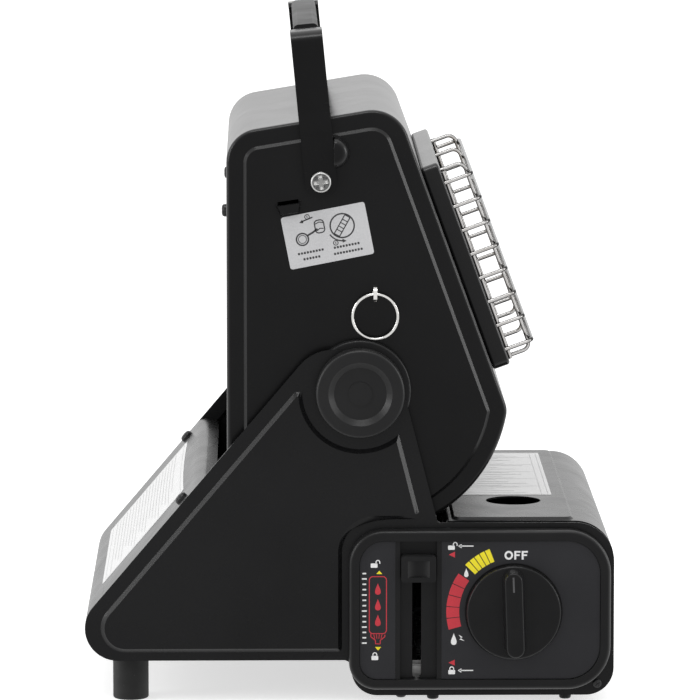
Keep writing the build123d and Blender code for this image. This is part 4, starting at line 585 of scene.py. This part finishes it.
lid_inset = 1.75  # the keyline runs this far inside the plate's edge
frame_line = edged(rounded(lid_wide - 2 * lid_inset, lid_deep - 2 * lid_inset, 0.4), 3)
table = [table_line(frame_line, 0.4, closed=True)]
inner_x = lid_wide / 2 - 5.0
column_end = lid_deep / 2 - lid_inset
table.append(table_line([(inner_x, -column_end), (inner_x, 0), (inner_x, column_end)], 0.35))
for row in range(22):
    level = -lid_deep / 2 + 7.0 + 6.1 * row
    long = 34.0 - (row * 7 % 5) * 4.0
    start = -lid_wide / 2 + 5.0 + (row % 2) * 1.5
    table.append(table_line([(start, level), (start + long / 2, level), (start + long, level)], 0.9))
    if row % 4 == 3:
        between = level + 3.0
        table.append(table_line([(-lid_wide / 2 + 2, between), (0, between), (inner_x, between)], 0.3))
build("lid_plate_rules", table, lid_place, pale_ink, "lid")


# ---------------------------------------------------------------------------------------------------
# Pivots: bolts, nuts and washers of plated steel through hollow bosses, under moulded caps with a dished
# face. The caps are a softer black than the enamel, with a fine grain.
# ---------------------------------------------------------------------------------------------------
cap_dark, cap_light = (0.0090, 0.0090, 0.0094), (0.0125, 0.0125, 0.0130)
cap_black = coat("cap_black", cap_dark, cap_light, rough=(0.34, 0.44), peel=0.4, gloss=0.20, cloud=26.0)
dress(cap_black, "pivot_caps")
bolt_zinc = plated("bolt_zinc", (0.58, 0.58, 0.57), rough=(0.22, 0.34), crystal=900.0, roll=(1, 1, 1))
dress(bolt_zinc, "pivot_bolts", "hub_nuts", "hub_washers")


# ---------------------------------------------------------------------------------------------------
# Head shell: two pressed sides, a wrapped back and roof, a belly and a front panel, in stoved enamel.
# The wrap is a little glossier, as it is sprayed flat before it is bent.
# ---------------------------------------------------------------------------------------------------
side_dark, side_light = (0.0050, 0.0050, 0.0053), (0.0070, 0.0070, 0.0074)
head_enamel = coat("head_enamel", side_dark, side_light, rough=(0.22, 0.28), peel=1.2, gloss=0.13, fleck=0.2)
dress(head_enamel, "head_side_near", "head_side_far", "front_panel")
roof_dark, roof_light = (0.0060, 0.0060, 0.0064), (0.0085, 0.0085, 0.0090)
roof_enamel = coat("roof_enamel", roof_dark, roof_light, rough=(0.22, 0.25), peel=1.4, gloss=0.20,
                   edge=0.9, cloud=9.0)
dress(roof_enamel, "head_wrap", "head_belly", "burner_frame")

# picture plate on the near side: silver-grey film with plain drawings of the pin's ring and of the dial
silver_film = film("silver_film", (0.60, 0.60, 0.61), (0.53, 0.53, 0.54), rough=(0.30, 0.42))
dark_ink = film("dark_ink", (0.022, 0.022, 0.024), (0.035, 0.035, 0.038))
card_turn = math.radians(11.05)
card_across = (math.cos(card_turn), 0, math.sin(card_turn))
card_up = (-math.sin(card_turn), 0, math.cos(card_turn))
side_reach = 111.5  # the head sides' outer faces, from the mid-plane
card_place = on_plane((-10.9, mid_y - side_reach, 235.9), card_across, card_up)
card_wide, card_high, card_low, line_low, line_high = 42.6, 26.6, 0.02, 0.16, 0.20
card = prism(rounded(card_wide, card_high, 1.3), card_low, line_low)
build("picture_plate", [card], card_place, silver_film, "head")


def drawing_line(path, wide=0.45, closed=False):
    """An ink line on the picture plate, spread a little in printing"""
    return stroke(path, 1.35 * wide, line_low, line_high, closed)


def drawing_fill(outline):
    """A filled shape on the picture plate"""
    return prism(np.asarray(outline, float), line_low, line_high)


# the ring on its strap, with an arrow
ring_x, ring_z, dial_mark_x, dial_mark_z = -12.6, 0.6, 8.2, 3.6
drawing = [drawing_line(ring(ring_x, ring_z, 3.0), 0.55, True)]
drawing.append(drawing_line(ring(ring_x, ring_z, 2.0), 0.25, True))
drawing.append(drawing_line([(ring_x + 2.9, ring_z + 1.4), (-7.0, 3.0), (-4.2, 4.4)], 0.7))
drawing.append(drawing_line(rounded(4.6, 6.4, 1.6) + (-3.0, 5.4), 0.45, True))
drawing.append(drawing_line([(-4.7, 3.4), (-3.0, 4.4), (-1.2, 4.0)], 0.35))
drawing.append(drawing_line([(-4.9, 6.9), (-3.0, 7.6), (-1.0, 7.0)], 0.35))
drawing.append(drawing_line([(-11.6, 9.3), (-9.0, 9.9), (-5.6, 10.6)], 0.5))
drawing.append(drawing_fill([(-12.6, 9.0), (-10.6, 8.5), (-10.9, 10.3)]))

# the dial with its ribbed bar, and an arrow round it
drawing.append(drawing_line(ring(dial_mark_x, dial_mark_z, 6.0), 0.55, True))
slant = math.radians(50)
bar_turn = np.array([[math.cos(slant), math.sin(slant)], [-math.sin(slant), math.cos(slant)]])
drawing.append(drawing_line(rounded(10.8, 3.0, 0.4) @ bar_turn + (dial_mark_x, dial_mark_z), 0.4, True))
for step in (-2.9, -1.0, 1.0, 2.9):
    rib = np.array([(step, -1.4), (step, 0), (step, 1.4)]) @ bar_turn + (dial_mark_x, dial_mark_z)
    drawing.append(drawing_line(rib, 0.35))
drawing.append(drawing_line(arc(dial_mark_x, dial_mark_z, 7.6, 205, 262, 12), 0.5))
drawing.append(drawing_fill([(8.9, -4.3), (7.0, -2.9), (6.9, -4.9)]))

# a small circle with a bar by each drawing, and rows of dots under both
for x, z in ((-8.2, 11.3), (3.4, -4.3)):
    drawing.append(drawing_line(ring(x, z, 1.15), 0.3, True))
    drawing.append(drawing_line([(x, z - 0.6), (x, z), (x, z + 0.6)], 0.3))
dot_pitch = 1.5
for x, z, long in ((-9.6, -6.3, 13.6), (-9.4, -9.4, 9.6), (9.0, -6.6, 14.4), (9.0, -9.7, 15.4)):
    for k in range(int(long / dot_pitch)):
        drawing.append(drawing_fill(rounded(1.05, 1.15, 0.3, 3) + (x - long / 2 + dot_pitch * k + 0.7, z)))
build("picture_plate_drawing", drawing, card_place, dark_ink, "head")


# strap stops: bumps pressed out of the head's sides, one by each end of the handle
def dome(wide, high, rise, rings=24, turns=48):
    """A pressed bump over half an ellipse: r runs from 0 in the middle to 1 at the foot, and height is rise
    times sqrt(1 - r to the fourth). A point closes its top, and a flat wall and seat its straight side and
    its foot"""
    r = np.sin(np.linspace(0, math.pi / 2, rings + 1))[1:, None]
    turn = np.linspace(-math.pi / 2, math.pi / 2, turns)[None, :]
    level = rise * np.sqrt(1 - r**4) + 0 * turn
    grid = np.stack([wide * r * np.cos(turn), high * r * np.sin(turn), level], 2)
    points = np.vstack([grid.reshape(-1, 3), [[0, 0, rise]]])
    pole = len(points) - 1
    row = np.arange(turns - 1)
    inner = turns * np.arange(rings - 1)[:, None]
    outer = inner + turns
    skin = np.stack([inner + row, outer + row, outer + row + 1, inner + row + 1], 2).reshape(-1, 4)
    top = np.stack([np.full(turns - 1, pole), row, row + 1], 1)
    edge = (turns * np.arange(rings)).tolist()
    flat = edge[::-1] + [pole] + [e + turns - 1 for e in edge]
    under = (turns * (rings - 1) + np.arange(turns)).tolist()
    return points, skin.tolist() + top.tolist() + [flat, under[::-1]]


stop_x, stop_z = -7.65, 277.6
stop_wide, stop_high, stop_rise = 8.0, 7.9, 7.4
for side, name in ((-1, "near"), (1, "far")):
    stop_place = on_plane((stop_x, mid_y + side * side_reach, stop_z), (1, 0, 0), (0, 0, -side))
    bump = dome(stop_wide, stop_high, stop_rise)
    build("strap_stop_" + name, [bump], stop_place, head_enamel, "head", smooth=True)


# ---------------------------------------------------------------------------------------------------
# Burner: two porous clay plaques in a steel box, a bright reflector round them, and the mixing tube behind.
# The plaques are pierced all over with fine holes set in even rows; heat has tinted them a little.
# ---------------------------------------------------------------------------------------------------
clay, skin = new_material("pierced_clay")
wall_turn = math.radians(20.0)
apart = put(skin, "SeparateXYZ")
join(skin, placed(skin, turn=(0, -wall_turn, 0)), "Vector", apart, "Vector")
hole_pitch = 0.0023
waves = []
for axis in ("Y", "Z"):
    phase = combined(skin, "MULTIPLY", apart, axis, 2 * math.pi / hole_pitch)
    wave = put(skin, "Math", operation="COSINE")
    join(skin, phase, "Value", wave, 0)
    waves.append(wave)
pierced = combined(skin, "ADD", waves[0], "Value", waves[1])
pore = span(skin, pierced, "Value", 0.55, 1.05, 0.0, 1.0)
sand = noise(skin, placed(skin), 1600.0, 4.0, 0.6)
heated = noise(skin, placed(skin), 22.0, 2.0)
grains = span(skin, sand, "Fac", 0.35, 0.65, 0.0, 1.0).outputs[0]
scorch = span(skin, heated, "Fac", 0.45, 0.75, 0.0, 0.5).outputs[0]
clay_body = tint(skin, grains, (0.66, 0.61, 0.53), (0.78, 0.74, 0.67))
clay_body = tint(skin, scorch, clay_body, (0.60, 0.47, 0.36))
# the holes are painted near black: painted shade inside the holes
paint(skin, tint(skin, pore.outputs[0], clay_body, (0.10, 0.08, 0.07)))
join(skin, span(skin, sand, "Fac", 0.3, 0.7, 0.82, 0.94), "Result", skin, "Roughness")
pitted = combined(skin, "SUBTRACT", span(skin, sand, "Fac", 0.0, 1.0, 0.0, 0.2), "Result", pore, "Result")
relief(skin, pitted, "Value", 0.0006, 0.8)
dress(clay, "ceramic_plaques")
glaze_dark, glaze_light = (0.70, 0.68, 0.62), (0.80, 0.78, 0.73)
stem_glaze = coat("stem_porcelain", glaze_dark, glaze_light, rough=(0.20, 0.34), peel=0.5, gloss=0.5)
dress(stem_glaze, "igniter_stems")
fibre_dark, fibre_light = (0.50, 0.48, 0.44), (0.66, 0.64, 0.60)
fibre = coat("gasket_fibre", fibre_dark, fibre_light, rough=(0.85, 0.95), peel=0.6, gloss=0.2)
dress(fibre, "plaque_gasket")
rolled_steel = drawn("rolled_steel", (0.64, 0.63, 0.61), rough=(0.14, 0.28), fine=900.0, grain=(1, 0.03, 1))
dress(rolled_steel, "reflector")
aluminised = plated("aluminised_steel", (0.60, 0.60, 0.60), rough=(0.30, 0.44), crystal=260.0)
dress(aluminised, "burner_body", "mixing_tube", "heat_shield")


# ---------------------------------------------------------------------------------------------------
# Wire guard, pull ring and pin: bright nickel-plated wire, bent and spot-welded.
# The wire keeps faint drawing lines along it and is smoked here and there by the burner.
# ---------------------------------------------------------------------------------------------------
nickel = drawn("nickel_wire", (0.74, 0.73, 0.71), rough=(0.06, 0.16), fine=1500.0, grain=(1, 0.12, 1),
               depth=0.000003)
dress(nickel, "pull_ring", "lock_pin", "igniter_wires")
guard_wire, skin = new_material("guard_wire")
draw_marks = noise(skin, placed(skin, scale=(1, 0.12, 1)), 1500.0, 5.0, 0.6)
smoke = noise(skin, placed(skin), 60.0, 3.0)
turned = put(skin, "LayerWeight", Blend=0.5)
smoked = span(skin, smoke, "Fac", 0.45, 0.7, 0.0, 0.7).outputs[0]
# the wire's colour turns near black where its surface is seen edge-on: painted dark reflections along the
# sides of each wire
painted_edge_shade = span(skin, turned, "Facing", 0.08, 0.42, 0.0, 1.0).outputs[0]
bright_wire = tint(skin, smoked, (0.58, 0.57, 0.56), (0.42, 0.40, 0.38))
paint(skin, tint(skin, painted_edge_shade, bright_wire, (0.020, 0.020, 0.020)))
join(skin, span(skin, draw_marks, "Fac", 0.3, 0.7, 0.08, 0.20), "Result", skin, "Roughness")
relief(skin, draw_marks, "Fac", 0.000003, 0.3)
skin.inputs["Metallic"].default_value = 1.0
dress(guard_wire, "guard_bars", "guard_uprights")


def coil(centre, start, end, radius, wire, turns, sides=12, steps=36):
    """A closed-ended compression spring along Y: a circle carried round a helix. Along the axis a point lies
    at its share of the turns less 0.55 sin(2 pi share) / 2 pi of the length, so the end coils lie closer"""
    share = np.linspace(0, 1, turns * steps + 1)[:, None]
    turn = 2 * math.pi * turns * share
    along = start + (end - start) * (share - 0.55 * np.sin(2 * math.pi * share) / (2 * math.pi))
    outward = np.hstack([np.cos(turn), 0 * turn, np.sin(turn)])
    path = radius * outward + np.hstack([centre[0] + 0 * turn, along, centre[1] + 0 * turn])
    run = np.gradient(path, axis=0)
    run /= np.linalg.norm(run, axis=1)[:, None]
    beside = np.cross(run, outward)
    round_wire = np.arange(sides) * 2 * math.pi / sides
    points = path[:, None] + wire * (np.cos(round_wire)[:, None] * outward[:, None]
                                     + np.sin(round_wire)[:, None] * beside[:, None])
    here = sides * np.arange(len(path) - 1)[:, None] + np.arange(sides)
    after = sides * np.arange(len(path) - 1)[:, None] + (np.arange(sides) + 1) % sides
    skin = np.stack([here, after, after + sides, here + sides], 2).reshape(-1, 4).tolist()
    last = sides * (len(path) - 1)
    return points.reshape(-1, 3), skin + [list(range(sides))[::-1], list(range(last, last + sides))]


# the pin's spring stands on the inside of the head's side; the real one shortens as the pin is pulled out,
# and this one is built once, to the size of the CAD spring
low_end, high_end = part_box("pin_spring")
spring_middle = (low_end + high_end) / 2 / MM
spring_wire, spring_turns, pull = 0.4, 6, 8.0
spring_radius = (high_end.x - low_end.x) / MM / 2 - spring_wire
spring_start, spring_end = low_end.y / MM + spring_wire, high_end.y / MM - spring_wire
spring_axis = (spring_middle.x, spring_middle.z)
helix = coil(spring_axis, spring_start, spring_end, spring_radius, spring_wire, spring_turns)
pin_coil = build("pin_coil", [helix], lambda points: points * MM, nickel, "head", smooth=True)
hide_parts("pin_spring")
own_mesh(pin_coil)


# ---------------------------------------------------------------------------------------------------
# Handle: a flat steel bail on two shoulder screws, with a moulded grip along its top.
# The screws are bright pan heads pressed with a cross recess.
# ---------------------------------------------------------------------------------------------------
strap_dark, strap_light = (0.0040, 0.0040, 0.0042), (0.0058, 0.0058, 0.0061)
strap_enamel = coat("strap_enamel", strap_dark, strap_light, rough=(0.22, 0.30), peel=1.0, gloss=0.11,
                    fleck=0.2)
dress(strap_enamel, "bail_strap")
grip_dark, grip_light = (0.0085, 0.0085, 0.0089), (0.0120, 0.0120, 0.0125)
grip_black = coat("grip_black", grip_dark, grip_light, rough=(0.40, 0.52), peel=0.4, gloss=0.20)
dress(grip_black, "grip")
# the screw heads' colour runs from bright metal to near black by the painted shade that each point carries:
# painted shade on the face and in the cross, painted highlights on the rim and the cross's edges, broken up a
# little by scuffs
bright_screw, skin = new_material("bright_screw")
scuffs = noise(skin, placed(skin), 1400.0, 5.0, 0.65)
painted_shade_read = put(skin, "Attribute", attribute_name="painted_shade")
patches = span(skin, scuffs, "Fac", 0.4, 0.6, 0.8, 1.0)
patchy_painted_shade = combined(skin, "MULTIPLY", painted_shade_read, "Fac", patches, "Result")
paint(skin, tint(skin, patchy_painted_shade.outputs[0], (0.62, 0.62, 0.61), (0.030, 0.030, 0.031)))
join(skin, span(skin, scuffs, "Fac", 0.3, 0.7, 0.18, 0.34), "Result", skin, "Roughness")
relief(skin, scuffs, "Fac", 0.00001, 0.3)
skin.inputs["Metallic"].default_value = 1.0
dress(bright_screw, "handle_screws")
lowest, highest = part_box("handle_screws")
screw_top = (highest.y - lowest.y) / MM / 2
screw_sunk = 0.02  # the pressed face starts just inside the turned head
handle_x, handle_z = -14.2, 263.4
wide_head = (5.0, 0.85, 1.25, 6.6, 0.8)
for side, name in ((-1, "near"), (1, "far")):
    centre = (handle_x, mid_y + side * (screw_top - screw_sunk), handle_z)
    along = (-side, 0, 0)
    screw("handle_screw_face_" + name, centre, along, (0, 0, 1), wide_head, bright_screw,
          "head", turn=0.12)


# ---------------------------------------------------------------------------------------------------
# Stage: a pale floor that turns up into a backdrop, soft boxes, and a long lens at a low angle.
# None of it belongs to the heater.
# ---------------------------------------------------------------------------------------------------
def studio_white(name, shade, lift):
    """A white sweep: reflections see it white, and the lens sees its own shade, lifted, so shadows stay"""
    made, skin = new_material(name)
    tree = made.node_tree
    skin.inputs["Base Color"].default_value = (shade, shade, shade, 1)
    skin.inputs["Roughness"].default_value = 0.9
    rays = put(skin, "LightPath")
    glow = put(skin, "Emission", Strength=1.0)
    seen = put(skin, "Emission")
    join(skin, combined(skin, "MULTIPLY", rays, "Is Camera Ray", lift), "Value", seen, "Strength")
    lit = put(skin, "AddShader")
    tree.links.new(skin.outputs["BSDF"], lit.inputs[0])
    tree.links.new(seen.outputs["Emission"], lit.inputs[1])
    mirrored = combined(skin, "MAXIMUM", rays, "Is Glossy Ray", rays, "Is Transmission Ray")
    either = put(skin, "MixShader")
    join(skin, mirrored, "Value", either, "Fac")
    tree.links.new(lit.outputs["Shader"], either.inputs[1])
    tree.links.new(glow.outputs["Emission"], either.inputs[2])
    tree.links.new(either.outputs["Shader"], tree.nodes["Material Output"].inputs["Surface"])
    return made


def sweep(name, half, back, rise, bend):
    """Floor and backdrop in one sheet: flat to the back, a quarter circle of radius bend, then straight up"""
    turn = np.linspace(0, math.pi / 2, 17)
    y = np.concatenate(([-half], back - bend + bend * np.sin(turn), [back]))
    z = np.concatenate(([0.0], bend - bend * np.cos(turn), [rise]))
    points = np.stack([np.repeat([-half, half], len(y)), np.tile(y, 2), np.tile(z, 2)], 1)
    near = np.arange(len(y) - 1)
    faces = np.stack([near, near + len(y), near + len(y) + 1, near + 1], 1)
    mesh = bpy.data.meshes.new(name)
    mesh.from_pydata(points.tolist(), [], faces.tolist())
    made = bpy.data.objects.new(name, mesh)
    bpy.context.scene.collection.objects.link(made)
    return made


floor = sweep("studio_floor", 6.0, 6.0, 0.6, 0.5)
floor.data.materials.append(studio_white("studio_white", 0.85, 0.62))

scene = bpy.context.scene
scene.view_settings.view_transform = "Standard"
world = bpy.data.worlds.new("studio")
scene.world = world
world.use_nodes = True
tree = world.node_tree
sky = tree.nodes["Background"]
sky.inputs["Color"].default_value = (1, 1, 1, 1)
rays = tree.nodes.new("ShaderNodeLightPath")
total = rays.outputs["Is Camera Ray"]
for kind in ("Is Glossy Ray", "Is Transmission Ray"):
    either = tree.nodes.new("ShaderNodeMath")
    either.operation = "MAXIMUM"
    tree.links.new(total, either.inputs[0])
    tree.links.new(rays.outputs[kind], either.inputs[1])
    total = either.outputs[0]
level = tree.nodes.new("ShaderNodeMapRange")
tree.links.new(total, level.inputs["Value"])
level.inputs["To Min"].default_value = 0.78
level.inputs["To Max"].default_value = 1.0
tree.links.new(level.outputs["Result"], sky.inputs["Strength"])


def lamp(name, place, aim, size, watts):
    """A soft box, wide by high, that looks from its place to its aim"""
    light = bpy.data.lights.new(name, "AREA")
    light.shape = "RECTANGLE"
    light.size, light.size_y = size
    light.energy = watts
    made = bpy.data.objects.new(name, light)
    made.location = place
    made.rotation_euler = (Vector(aim) - Vector(place)).to_track_quat("-Z", "Y").to_euler()
    scene.collection.objects.link(made)


lamp("overhead_box", (-0.1, -0.5, 1.6), (0, 0, 0.1), (0.9, 0.25), 5.0)
lamp("left_box", (-1.6, -0.6, 0.7), (0, 0, 0.15), (0.25, 0.9), 6.0)
lamp("right_box", (1.6, -0.3, 0.6), (0, 0, 0.15), (0.25, 0.9), 4.0)

lens = bpy.data.cameras.new("long_lens")
lens.sensor_width = 36.0
lens.lens = 288.0
camera_tip, camera_turn = 7.578, -0.892  # degrees tipped down, and turned, a minus being to the right
camera = bpy.data.objects.new("long_lens", lens)
camera.location = (-0.04292, -2.88643, 0.54819)
camera.rotation_euler = (math.radians(90 - camera_tip), 0, math.radians(camera_turn))
scene.collection.objects.link(camera)
scene.camera = camera
